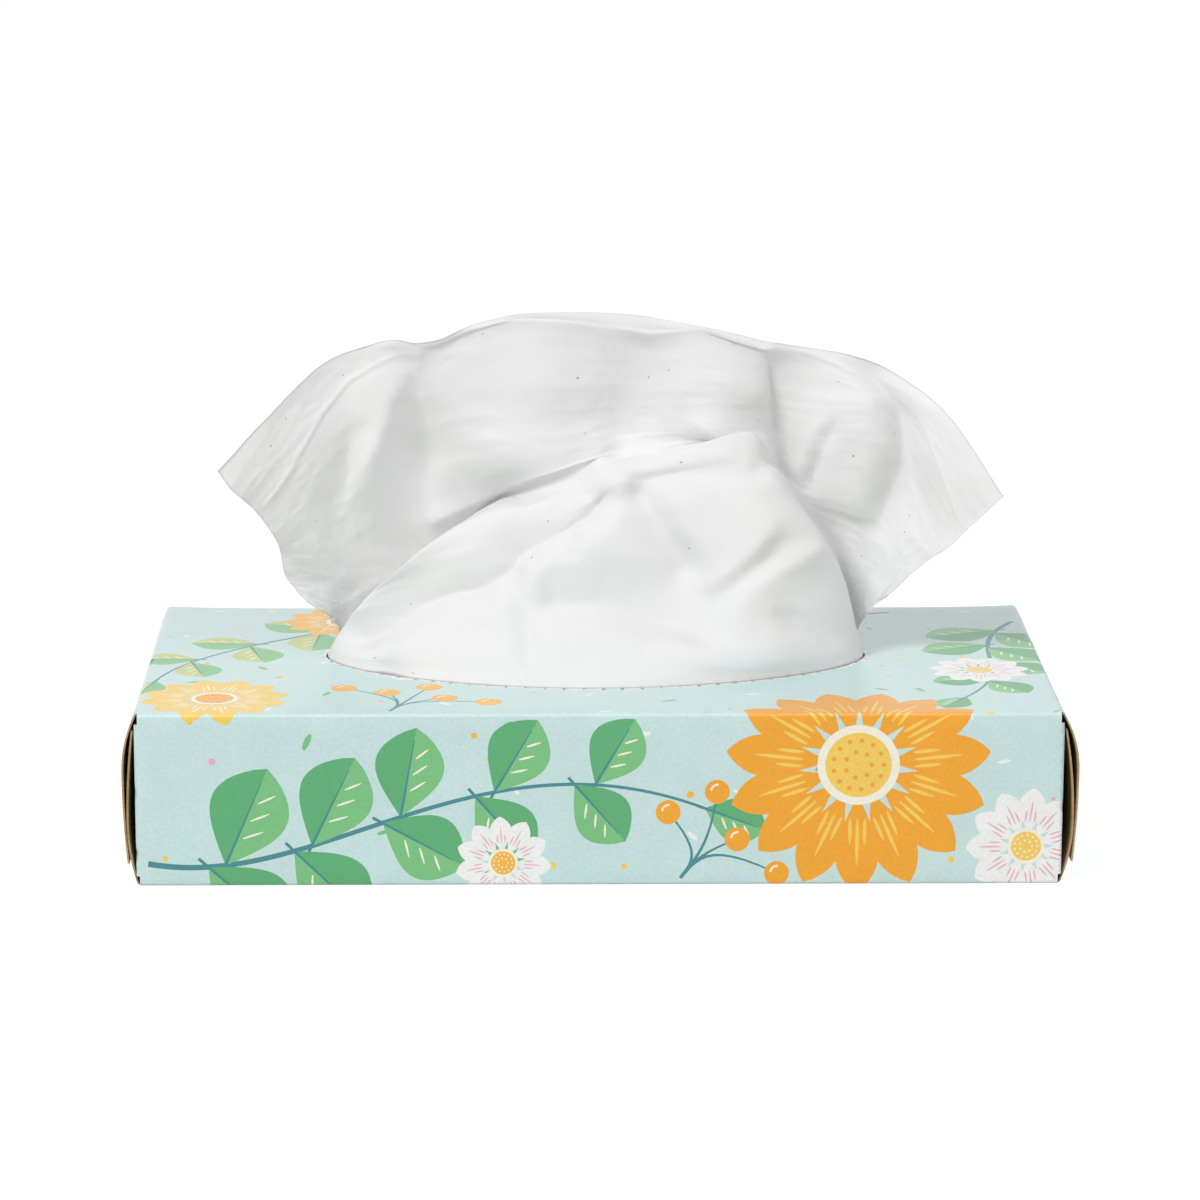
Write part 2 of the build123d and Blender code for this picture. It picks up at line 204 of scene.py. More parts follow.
@dataclass(frozen=True)
class PrintedBoard(Finish):
    """Coated folding boxboard, offset printed: flat inks under a thin satin varnish.

    The varnish gives a hazy gloss at a low angle, the clay coat a faint mottle in the ink, and
    the folds crack it, so that pale fibre shows along them. The same pale colour is also laid
    along every fold as a painted highlight.
    """

    name: str = "printed_boxboard_varnished"
    mottle: Pattern = (0.9, 4.0, 0.65)
    cloud: Pattern = (11.0, 3.0, 0.55)
    crack: Pattern = (0.7, 5.0, 0.7)
    mottle_shades: Flat = (0.93, 1.05)
    cloud_shades: Flat = (0.97, 1.02)
    roughness: Flat = (0.42, 0.52)
    crack_contrast: float = 1.5
    crack_threshold: float = 1.05
    # Pale fibre colour for cracks and rubbed corners, and for the painted highlight along the folds
    fibre_and_highlight: str = "#E9ECE8"

    def surface(self, tree: Tree) -> Socket:
        """Add the inks with their mottle, the pale fibre and painted fold highlight, and the varnish.

        Args:
            tree: The material's node tree.

        Returns:
            The finished shader.
        """
        place = add_node(tree, "ShaderNodeTexCoord", output="Object")
        ink = add_node(tree, "ShaderNodeAttribute", output="Color", attribute_name="ink")
        # Mask of rubbed corners plus a painted highlight along every fold
        wear_and_fold_highlight = add_node(tree, "ShaderNodeAttribute", output="Fac", attribute_name="wear_and_fold_highlight")
        grain, cloud, crack = (
            add_node(
                tree,
                "ShaderNodeTexNoise",
                {"Vector": place, "Scale": per_metre(size), "Detail": detail, "Roughness": blend},
            )
            for size, detail, blend in (self.mottle, self.cloud, self.crack)
        )
        shades = ((grain, self.mottle_shades), (cloud, self.cloud_shades), (grain, self.roughness))
        grain_shade, cloud_shade, roughness = (
            add_node(
                tree,
                "ShaderNodeMapRange",
                {"Value": pattern, "From Min": 0.3, "From Max": 0.7, "To Min": low, "To Max": high},
            )
            for pattern, (low, high) in shades
        )
        product = {0: grain_shade, 1: cloud_shade}
        shade = add_node(tree, "ShaderNodeMath", product, operation="MULTIPLY")
        lit = {"Vector": ink, "Scale": shade}
        mottled = add_node(tree, "ShaderNodeVectorMath", lit, operation="SCALE")
        cracks = {0: crack, 1: self.crack_contrast, 2: -self.crack_threshold}
        cracked = add_node(tree, "ShaderNodeMath", cracks, operation="MULTIPLY_ADD")
        shown = cracked
        for step in ("ADD", "MULTIPLY"):
            both = {0: shown, 1: wear_and_fold_highlight}
            shown = add_node(tree, "ShaderNodeMath", both, operation=step, use_clamp=True)
        # Cracks, rubbed corners and the painted fold highlight all show the pale colour
        tones = {"Factor": shown, "A": mottled, "B": linear(self.fibre_and_highlight)}
        colour = add_node(tree, "ShaderNodeMix", tones, data_type="RGBA")
        relief = {"Height": grain, "Strength": 0.35, "Distance": 0.04 * MILLIMETRE}
        bump = add_node(tree, "ShaderNodeBump", relief)
        board = {"Base Color": colour, "Normal": bump, "Roughness": roughness, "IOR": 1.5}
        varnish = {"Coat Weight": 0.8, "Coat Roughness": 0.32, "Coat IOR": 1.45}
        return add_node(tree, "ShaderNodeBsdfPrincipled", board | varnish)


@dataclass(frozen=True)
class TwoTone(Finish):
    """A surface whose fine and coarse patterns blend a dark and a light tone and give its relief.

    The fine one is drawn out along an axis where the squeeze is below 1. The coarse one adds one
    share of itself to the tone and another to the relief, which has a depth in millimetres and a
    strength.
    """

    dark: str
    light: str
    fine: Pattern
    coarse: Pattern
    coarse_shares: Flat
    ramp: Flat
    relief: Flat
    roughness: float
    ior: float
    squeeze: Place = (1.0, 1.0, 1.0)

    def surface(self, tree: Tree) -> Socket:
        """Add both patterns, the tones between which they blend, and the relief.

        Args:
            tree: The material's node tree.

        Returns:
            The finished shader.
        """
        place = add_node(tree, "ShaderNodeTexCoord", output="Object")
        drawn = add_node(tree, "ShaderNodeMapping", {"Vector": place, "Scale": self.squeeze})
        fine, coarse = (
            add_node(
                tree,
                "ShaderNodeTexNoise",
                {"Vector": where, "Scale": per_metre(size), "Detail": detail, "Roughness": blend},
            )
            for where, (size, detail, blend) in ((drawn, self.fine), (place, self.coarse))
        )
        tone, height = (
            add_node(
                tree, "ShaderNodeMath", {0: coarse, 1: share, 2: fine}, operation="MULTIPLY_ADD"
            )
            for share in self.coarse_shares
        )
        low, high = self.ramp
        ramp = {"Value": tone, "From Min": low, "From Max": high}
        blend = add_node(tree, "ShaderNodeMapRange", ramp)
        tones = {"Factor": blend, "A": linear(self.dark), "B": linear(self.light)}
        colour = add_node(tree, "ShaderNodeMix", tones, data_type="RGBA")
        depth, strength = self.relief
        relief = {"Height": height, "Strength": strength, "Distance": depth * MILLIMETRE}
        bump = add_node(tree, "ShaderNodeBump", relief)
        body = {"Base Color": colour, "Normal": bump, "Roughness": self.roughness, "IOR": self.ior}
        return add_node(tree, "ShaderNodeBsdfPrincipled", body)


@dataclass(frozen=True)
class FibreBoard(TwoTone):
    """Uncoated side and cut edge of boxboard made from recycled pulp: dull, with short fibres.

    The fibres lie along the box, and the pulp under them is a little cloudy.
    """

    name: str = "kraft_boxboard_uncoated"
    dark: str = "#97794F"
    light: str = "#C2A87E"
    fine: Pattern = (0.35, 4.0, 0.6)
    coarse: Pattern = (7.0, 2.0, 0.5)
    coarse_shares: Flat = (0.35, 0.0)
    ramp: Flat = (0.45, 0.9)
    relief: Flat = (0.06, 0.5)
    roughness: float = 0.88
    ior: float = 1.47
    squeeze: Place = (0.2, 1.0, 1.0)


@dataclass(frozen=True)
class PiledTissue(TwoTone):
    """Side of a pile of interfolded tissue: hundreds of soft folded edges, one above another.

    The fine pattern is the edges, drawn out level, and the coarse one is the crepe.
    """

    name: str = "interfolded_tissue_pile"
    dark: str = "#D9D8D2"
    light: str = "#F1F1EE"
    fine: Pattern = (0.75, 2.0, 0.5)
    coarse: Pattern = (0.9, 3.0, 0.6)
    coarse_shares: Flat = (0.0, 0.3)
    ramp: Flat = (0.35, 0.55)
    relief: Flat = (0.3, 0.6)
    roughness: float = 0.93
    ior: float = 1.4
    squeeze: Place = (0.02, 0.02, 1.0)


@dataclass(frozen=True)
class SetGlue(TwoTone):
    """Hot-melt glue that has set: waxy, milky yellow, rippled where it was pressed flat.

    It has one pattern, the ripples, and is paler where they are high and the glue is thin.
    """

    name: str = "hot_melt_glue"
    dark: str = "#D8C58E"
    light: str = "#EBDDB4"
    fine: Pattern = (3.0, 2.0, 0.5)
    coarse: Pattern = (3.0, 2.0, 0.5)
    coarse_shares: Flat = (0.0, 0.0)
    ramp: Flat = (0.0, 1.0)
    relief: Flat = (0.05, 0.3)
    roughness: float = 0.35
    ior: float = 1.48


@dataclass(frozen=True)
class TissuePaper(Finish):
    """Dry-creped tissue of bleached pulp: matt white, lets light through, with fine crepe bars.

    Two loose plies give soft puckers, and stray bark specks dot it. The crepe of about 0.4 mm is
    too fine to show, so it is drawn at the pitch given here.
    """

    name: str = "facial_tissue_creped"
    white: str = "#F3F3F3"
    speck: str = "#8F887C"
    crepe: Pattern = (0.9, 3.0, 0.6)
    crepe_squeeze: float = 0.35
    pucker: Pattern = (4.5, 2.0, 0.5)
    pucker_share: float = 2.6
    speck_gap: float = 7.0
    passes_light: float = 0.28

    def surface(self, tree: Tree) -> Socket:
        """Add the crepe bars, puckers and specks, which follow the flat sheet.

        Args:
            tree: The material's node tree.

        Returns:
            The finished shader.
        """
        flat = add_node(tree, "ShaderNodeUVMap", uv_map="flat_sheet")
        squeeze = {"Vector": flat, "Scale": (1.0, self.crepe_squeeze, 1.0)}
        bars = add_node(tree, "ShaderNodeMapping", squeeze)
        crepe, pucker = (
            add_node(
                tree,
                "ShaderNodeTexNoise",
                {"Vector": place, "Scale": per_metre(size), "Detail": detail, "Roughness": blend},
            )
            for place, (size, detail, blend) in ((bars, self.crepe), (flat, self.pucker))
        )
        strewn = {"Vector": flat, "Scale": per_metre(self.speck_gap), "Randomness": 1.0}
        specks = add_node(tree, "ShaderNodeTexVoronoi", strewn)
        ramp = {"Value": specks, "From Min": 0.03, "From Max": 0.045, "To Min": 0.8, "To Max": 0.0}
        spotted = add_node(tree, "ShaderNodeMapRange", ramp)
        tones = {"Factor": spotted, "A": linear(self.white), "B": linear(self.speck)}
        colour = add_node(tree, "ShaderNodeMix", tones, data_type="RGBA")
        heights = {0: pucker, 1: self.pucker_share, 2: crepe}
        height = add_node(tree, "ShaderNodeMath", heights, operation="MULTIPLY_ADD")
        relief = {"Height": height, "Strength": 0.35, "Distance": 0.12 * MILLIMETRE}
        bump = add_node(tree, "ShaderNodeBump", relief)
        pulp = {"Base Color": colour, "Normal": bump, "Roughness": 0.92, "IOR": 1.4}
        fuzz = {"Sheen Weight": 0.12, "Sheen Roughness": 0.5}
        matt = add_node(tree, "ShaderNodeBsdfPrincipled", pulp | fuzz)
        through = add_node(tree, "ShaderNodeBsdfTranslucent", {"Color": colour, "Normal": bump})
        return add_node(tree, "ShaderNodeMixShader", {0: self.passes_light, 1: matt, 2: through})


def split_by_ray(tree: Tree, unseen: Socket, seen: Socket) -> Socket:
    """Mix two shaders: one for rays that only carry light, one for the camera, mirrors and glass.

    Args:
        tree: The node tree.
        unseen: The shader for rays that only carry light.
        seen: The shader for rays that show it.

    Returns:
        The mixed shader.
    """
    camera, mirror, glass = (
        add_node(tree, "ShaderNodeLightPath", output=f"Is {ray} Ray")
        for ray in ("Camera", "Glossy", "Transmission")
    )
    indirect = add_node(tree, "ShaderNodeMath", {0: mirror, 1: glass}, operation="MAXIMUM")
    shows = add_node(tree, "ShaderNodeMath", {0: camera, 1: indirect}, operation="MAXIMUM")
    return add_node(tree, "ShaderNodeMixShader", {0: shows, 1: unseen, 2: seen})


@dataclass(frozen=True)
class StudioPaper(Finish):
    """Matt white background paper: it glows in view, so that only shadows show on it."""

    name: str = "studio_paper_white"
    bounce: str = "#BEBEBD"
    in_view: str = "#969696"
    glow: float = 0.84

    def surface(self, tree: Tree) -> Socket:
        """Add the paper that throws light back, and the glowing one that is seen.

        Args:
            tree: The material's node tree.

        Returns:
            The finished shader.
        """
        paper = add_node(tree, "ShaderNodeBsdfDiffuse", {"Color": linear(self.bounce)})
        shaded = add_node(tree, "ShaderNodeBsdfDiffuse", {"Color": linear(self.in_view)})
        white = {"Color": linear("#FFFFFF"), "Strength": self.glow}
        glow = add_node(tree, "ShaderNodeEmission", white)
        lit = add_node(tree, "ShaderNodeAddShader", {0: shaded, 1: glow})
        return split_by_ray(tree, paper, lit)


@dataclass(frozen=True)
class ArcPath:
    """A path in a plane, made of straight runs and arcs that follow on from each other.

    Each run is its length and the angle that it turns through, in radians.
    """

    start: Flat
    heading: float
    runs: tuple[Flat, ...]

    def length(self) -> float:
        """Length of the whole path."""
        return sum(run[0] for run in self.runs)

    def at(self, distance: np.ndarray) -> tuple[np.ndarray, np.ndarray]:
        """Points and headings at distances along the path.

        A part of an arc that turns through an angle has a chord of its length times the sine of
        half the angle over that half, and the chord points along the start heading plus that half.

        Args:
            distance: Distances from the start.

        Returns:
            The points, two numbers each, and the headings in radians.
        """
        lengths = np.array([run[0] for run in self.runs])
        turns = np.array([run[1] for run in self.runs])
        starts = np.concatenate([[0.0], np.cumsum(lengths)])
        headings = self.heading + np.concatenate([[0.0], np.cumsum(turns)])
        half = turns / 2
        chords = lengths * np.sinc(half / np.pi)
        steps = np.stack([chords * np.cos(headings[:-1] + half), chords * np.sin(headings[:-1] + half)])
        corners = np.array(self.start)[:, None] + np.concatenate([[[0], [0]], np.cumsum(steps, 1)], 1)
        run = np.clip(np.searchsorted(starts, distance, side="right") - 1, 0, len(lengths) - 1)
        part = distance - starts[run]
        turned = part * turns[run] / lengths[run]
        chord = part * np.sinc(turned / 2 / np.pi)
        toward = headings[run] + turned / 2
        points = np.stack(
            [corners[0, run] + chord * np.cos(toward), corners[1, run] + chord * np.sin(toward)], -1
        )
        return points, headings[run] + turned


def regular_steps(low: float, high: float, step: float) -> np.ndarray:
    """Even places from low to high, about a step apart."""
    return np.linspace(low, high, max(2, round((high - low) / step) + 1))


def lattice(first: np.ndarray, second: np.ndarray) -> np.ndarray:
    """Every number of the first with every number of the second, in order, as pairs."""
    return np.stack(np.meshgrid(first, second, indexing="ij"), -1).reshape(-1, 2)


def quads(ids: np.ndarray) -> np.ndarray:
    """Faces of four corners between neighbouring rows and columns of a grid of point numbers."""
    return np.stack([ids[:-1, :-1], ids[1:, :-1], ids[1:, 1:], ids[:-1, 1:]], -1).reshape(-1, 4)


def ribbon(points: np.ndarray, widths: np.ndarray) -> np.ndarray:
    """Outline of a stroke of changing width along a line of points.

    Args:
        points: The line's points, two numbers each.
        widths: The stroke's width at each point.

    Returns:
        The outline, down one side and back along the other.
    """
    along = np.gradient(points, axis=0)
    along /= np.linalg.norm(along, axis=1, keepdims=True)
    side = np.stack([-along[:, 1], along[:, 0]], 1) * widths[:, None] / 2
    return np.concatenate([points - side, (points + side)[::-1]])


def curve(controls: tuple[Flat | np.ndarray, ...], count: int) -> np.ndarray:
    """Points on the cubic Bezier curve of four controls.

    Args:
        controls: The four controls.
        count: How many points to work out.

    Returns:
        The points, two numbers each.
    """
    t = np.linspace(0, 1, count)[:, None]
    a, b, c, d = np.array(controls, float)
    return a * (1 - t) ** 3 + b * (3 * t * (1 - t) ** 2) + c * (3 * t**2 * (1 - t)) + d * t**3


def toward(angle: float) -> np.ndarray:
    """Unit direction of a heading in radians."""
    return np.array([math.cos(angle), math.sin(angle)])


def disc(radius: float, count: int = 20) -> np.ndarray:
    """Outline of a round spot."""
    turn = np.arange(count) * 2 * math.pi / count
    return radius * np.stack([np.cos(turn), np.sin(turn)], 1)


def petal(length: float, width: float, fullness: float, taper: float = 0.8) -> np.ndarray:
    """Outline of a petal or a round leaf that points along the first axis.

    Its half width is the taper power of a sine over its length, whose start is drawn out by the
    fullness power, so that the widest place lies beyond the middle.

    Args:
        length: Its length.
        width: Its greatest width.
        fullness: How far out its widest place lies.
        taper: How blunt its ends are.

    Returns:
        The outline, two numbers a point.
    """
    share = np.linspace(0, 1, 18)
    half = width / 2 * np.sin(np.pi * share**fullness) ** taper
    upper = np.stack([share * length, half], 1)
    return np.concatenate([upper, upper[-2:0:-1] * (1, -1)])


@dataclass(frozen=True)
class Patch:
    """One printed shape: its outline on the flat blank and its ink."""

    outline: np.ndarray
    ink: Ink


def stamped(outline: np.ndarray, angle: float, place: Flat | np.ndarray, ink: Ink) -> Patch:
    """Print an outline that is turned about its origin by an angle and moved to a place."""
    turn = np.array([[math.cos(angle), math.sin(angle)], [-math.sin(angle), math.cos(angle)]])
    return Patch(outline @ turn + np.asarray(place), ink)


@dataclass(frozen=True)
class Blossom:
    """A flower head seen from above: petals, a pale ring, a middle and dots round it.

    Its sizes are shares of its radius. A stroke lies at a share of the petal's width and ends at
    a share of the radius, and its widths are those on a flower of the stroke radius.
    """

    place: Flat
    radius: float
    petals: int
    outer: Ink
    stroke: Ink
    middle: Ink
    turn: float = 0.0
    petal_root: float = 0.2
    petal_fill: float = 0.78
    petal_fullness: float = 1.5
    stroke_root: float = 0.42
    stroke_ends: tuple[Flat, ...] = ((-0.17, 0.62), (0.0, 0.78), (0.17, 0.62))
    stroke_widths: tuple[float, ...] = (0.3, 0.7, 0.8, 0.8, 0.6, 0.2)
    ring_radius: float = 0.31
    middle_radius: float = 0.25
    dot_rings: tuple[tuple[float, int], ...] = ((0.19, 13), (0.1, 7))
    dot_radius: float = 0.018
    stroke_radius: float = 30.0
    ring_points: int = 40
    middle_points: int = 36
    dot_points: int = 8

    def patches(self) -> list[Patch]:
        """Printed shapes of the flower, from the lowest to the uppermost.

        Returns:
            The patches in the order of printing.
        """
        width = 2 * math.pi * self.radius * self.petal_fill / self.petals
        widths = np.array(self.stroke_widths) * self.radius / self.stroke_radius
        count = len(widths)
        out = self.radius * self.petal_root
        outline = petal(self.radius - out, width, self.petal_fullness)
        shapes = []
        for angle in self.turn + np.arange(self.petals) * 2 * math.pi / self.petals:
            shapes.append(stamped(outline, angle, out * toward(angle) + self.place, self.outer))
            for side, reach in self.stroke_ends:
                along = np.linspace(self.stroke_root, reach, count)
                line = np.stack([along, np.full(count, side)], 1)
                stroke = ribbon(line * (self.radius, width), widths)
                shapes.append(stamped(stroke, angle, self.place, self.stroke))
        ring = disc(self.radius * self.ring_radius, self.ring_points)
        middle = disc(self.radius * self.middle_radius, self.middle_points)
        shapes.append(stamped(ring, 0, self.place, Ink.CREAM))
        shapes.append(stamped(middle, 0, self.place, self.middle))
        dot = disc(self.radius * self.dot_radius, self.dot_points)
        for ring, count in self.dot_rings:
            for angle in np.arange(count) * 2 * math.pi / count:
                spot = ring * self.radius * toward(angle) + self.place
                shapes.append(stamped(dot, 0, spot, self.outer))
        return shapes


@dataclass(frozen=True)
class Sprig:
    """A bending stem with round leaves in pairs, each split in two greens by its rib.

    A leaf's sizes are shares of its length. The leaves get shorter towards the stem's end.
    """

    controls: tuple[Flat, ...]
    leaf_length: float
    pairs: int
    lit: Ink
    shaded: Ink
    stem: Ink = Ink.TEAL
    stem_widths: Flat = (1.5, 0.7)
    first_leaf: int = 8
    leaf_room: int = 50
    leaf_fill: float = 0.74
    leaf_fullness: float = 1.25
    leaf_lean: float = 0.95
    lean_play: float = 0.12
    shortening: float = 0.35
    end_leaf: float = 0.6
    rib_ends: Flat = (-0.12, 0.86)
    rib_widths: Flat = (0.8, 0.25)
    stroke_places: tuple[float, ...] = (0.3, 0.48, 0.66)
    stroke_side: float = -0.05
    stroke_run: Flat = (0.13, -0.17)
    stroke_turn: float = 0.08
    stroke_widths: tuple[float, ...] = (0.3, 0.55, 0.5, 0.2)
    stem_points: int = 60
    rib_points: int = 8

    def leaf(self, root: np.ndarray, angle: float, length: float) -> list[Patch]:
        """One leaf with its darker half, rib and pale strokes.

        Args:
            root: Where the leaf joins the stem.
            angle: Its heading, in radians.
            length: Its length.

        Returns:
            The patches in the order of printing.
        """
        whole = petal(length, length * self.leaf_fill, self.leaf_fullness)
        count = self.rib_points
        line = np.stack([np.linspace(*self.rib_ends, count) * length, np.zeros(count)], 1)
        rib = ribbon(line, np.linspace(*self.rib_widths, count))
        parts = [(whole, self.lit), (whole[: len(whole) // 2 + 1], self.shaded), (rib, self.stem)]
        for share in self.stroke_places:
            start = np.array([share * length, self.stroke_side * length])
            end = start + (np.array(self.stroke_run) + (0.0, self.stroke_turn * share)) * length
            widths = np.array(self.stroke_widths)
            parts.append((ribbon(np.linspace(start, end, len(widths)), widths), Ink.CREAM))
        return [stamped(outline, angle, root, ink) for outline, ink in parts]

    def patches(self) -> list[Patch]:
        """Printed shapes of the sprig, from the lowest to the uppermost.

        Returns:
            The patches in the order of printing.
        """
        line = curve(self.controls, self.stem_points)
        widths = np.linspace(*self.stem_widths, self.stem_points)
        shapes = [Patch(ribbon(line, widths), self.stem)]
        heading = np.arctan2(*np.gradient(line, axis=0).T[::-1])
        for number in range(self.pairs):
            spot = round(self.first_leaf + self.leaf_room * number / self.pairs)
            length = self.leaf_length * (1 - self.shortening * number / self.pairs)
            for side in (1, -1):
                lean = self.leaf_lean + self.lean_play * side * (-1) ** number
                shapes += self.leaf(line[spot + side], heading[spot] + side * lean, length)
        return shapes + self.leaf(line[-1], heading[-1], self.leaf_length * self.end_leaf)


@dataclass(frozen=True)
class BerrySpray:
    """A fan of thin stalks, each with a round berry that carries a pale glint.

    Every second stalk is shorter. The bend and the berry's radius are shares of the reach, and
    the ease is the share of the bend at which a stalk begins to turn.
    """

    place: Flat
    heading: float
    reach: float
    berries: int
    berry: Ink
    spread: float = 1.7
    shortening: float = 0.28
    bend: float = 0.5
    berry_radius: float = 0.13
    stalk_widths: Flat = (0.9, 0.45)
    glint: tuple[Flat, ...] = ((-0.5, 0.1), (-0.45, 0.5), (-0.1, 0.62), (0.1, 0.6))
    glint_width: float = 0.16
    ease: float = 0.6
    stalk_points: int = 12
    glint_points: int = 6

    def patches(self) -> list[Patch]:
        """Printed shapes of the spray, from the lowest to the uppermost.

        Returns:
            The patches in the order of printing.
        """
        shapes = []
        count = self.glint_points
        glint = ribbon(curve(self.glint, count), np.full(count, self.glint_width))
        widths = np.linspace(*self.stalk_widths, self.stalk_points)
        radius = self.berry_radius * self.reach
        for number in range(self.berries):
            angle = self.heading + self.spread * (number / max(1, self.berries - 1) - 0.5)
            far = self.reach * (1 - self.shortening * (number % 2))
            tip = toward(angle) * far
            bend = toward(self.heading) * far * self.bend
            controls = ((0, 0), bend * self.ease, bend, tip)
            stalk = curve(controls, self.stalk_points) + self.place
            shapes.append(Patch(ribbon(stalk, widths), Ink.TEAL))
            shapes.append(Patch(disc(radius) + (tip + self.place), self.berry))
            shapes.append(Patch(glint * radius + tip + self.place, Ink.CREAM))
        return shapes


@dataclass(frozen=True)
class Confetti:
    """Small spots and dashes strewn over the ground in even cells, each moved a little."""

    pitch: float = 17.0
    play: float = 0.4
    radii: Flat = (0.5, 1.0)
    dash: Flat = (2.4, 0.8)
    spot_points: int = 10
    inks: tuple[Ink, ...] = (Ink.AMBER, Ink.WHITE, Ink.GOLD, Ink.LEAF, Ink.PINK)
    seed: int = 11

    def patches(self, low: Flat, high: Flat) -> list[Patch]:
        """Printed spots over a rectangle of the blank.

        Args:
            low: The rectangle's lowest corner.
            high: Its highest corner.

        Returns:
            The patches in the order of printing.
        """
        rng = np.random.default_rng(self.seed)
        shapes = []
        for u in regular_steps(low[0], high[0], self.pitch):
            for v in regular_steps(low[1], high[1], self.pitch):
                place = np.array([u, v]) + rng.uniform(-self.play, self.play, 2) * self.pitch
                size, angle = rng.uniform(*self.radii), rng.uniform(0, math.pi)
                kind = rng.integers(len(self.inks))
                outline = disc(size, self.spot_points) * (self.dash if kind % 2 else (1.0, 1.0))
                shapes.append(stamped(outline, angle, place, self.inks[kind]))
        return shapes


@dataclass(frozen=True)
class Fold:
    """How a closing flap bows: its own sizes, as in the CAD model."""

    bow: float
    bow_level: float
    tip_offset: float
    length: float

    def path(self, crease_radius: float) -> ArcPath:
        """The flap's outside, seen along its crease: the fold, the swell, then the flatter end.

        Args:
            crease_radius: Outside radius of the fold.

        Returns:
            A path that starts outwards and turns inwards.
        """
        swell = self.bow_level - crease_radius
        lean = 2 * math.atan(self.bow / swell)
        near_radius = crease_radius + swell / math.sin(lean)
        rise, drop = self.length - self.bow_level, self.bow - self.tip_offset
        far_radius = (rise**2 + drop**2) / (2 * drop)
        tip = math.asin(rise / far_radius)
        fold = math.pi / 2 - lean
        runs = ((crease_radius * fold, fold), (near_radius * lean, lean), (far_radius * tip, tip))
        return ArcPath((0.0, 0.0), 0.0, runs)


# The flaps of both ends: 1 for the right end or -1 for the left, and the panel that carries it
FLAPS = tuple((side, panel) for side in (1, -1) for panel in ("top", "bottom", "front", "back"))

# How far past its panel's edge a flap's point may lie, and how near two points are one, in mm
EDGE_PLAY = 0.01
SAME_POINT = 1e-4


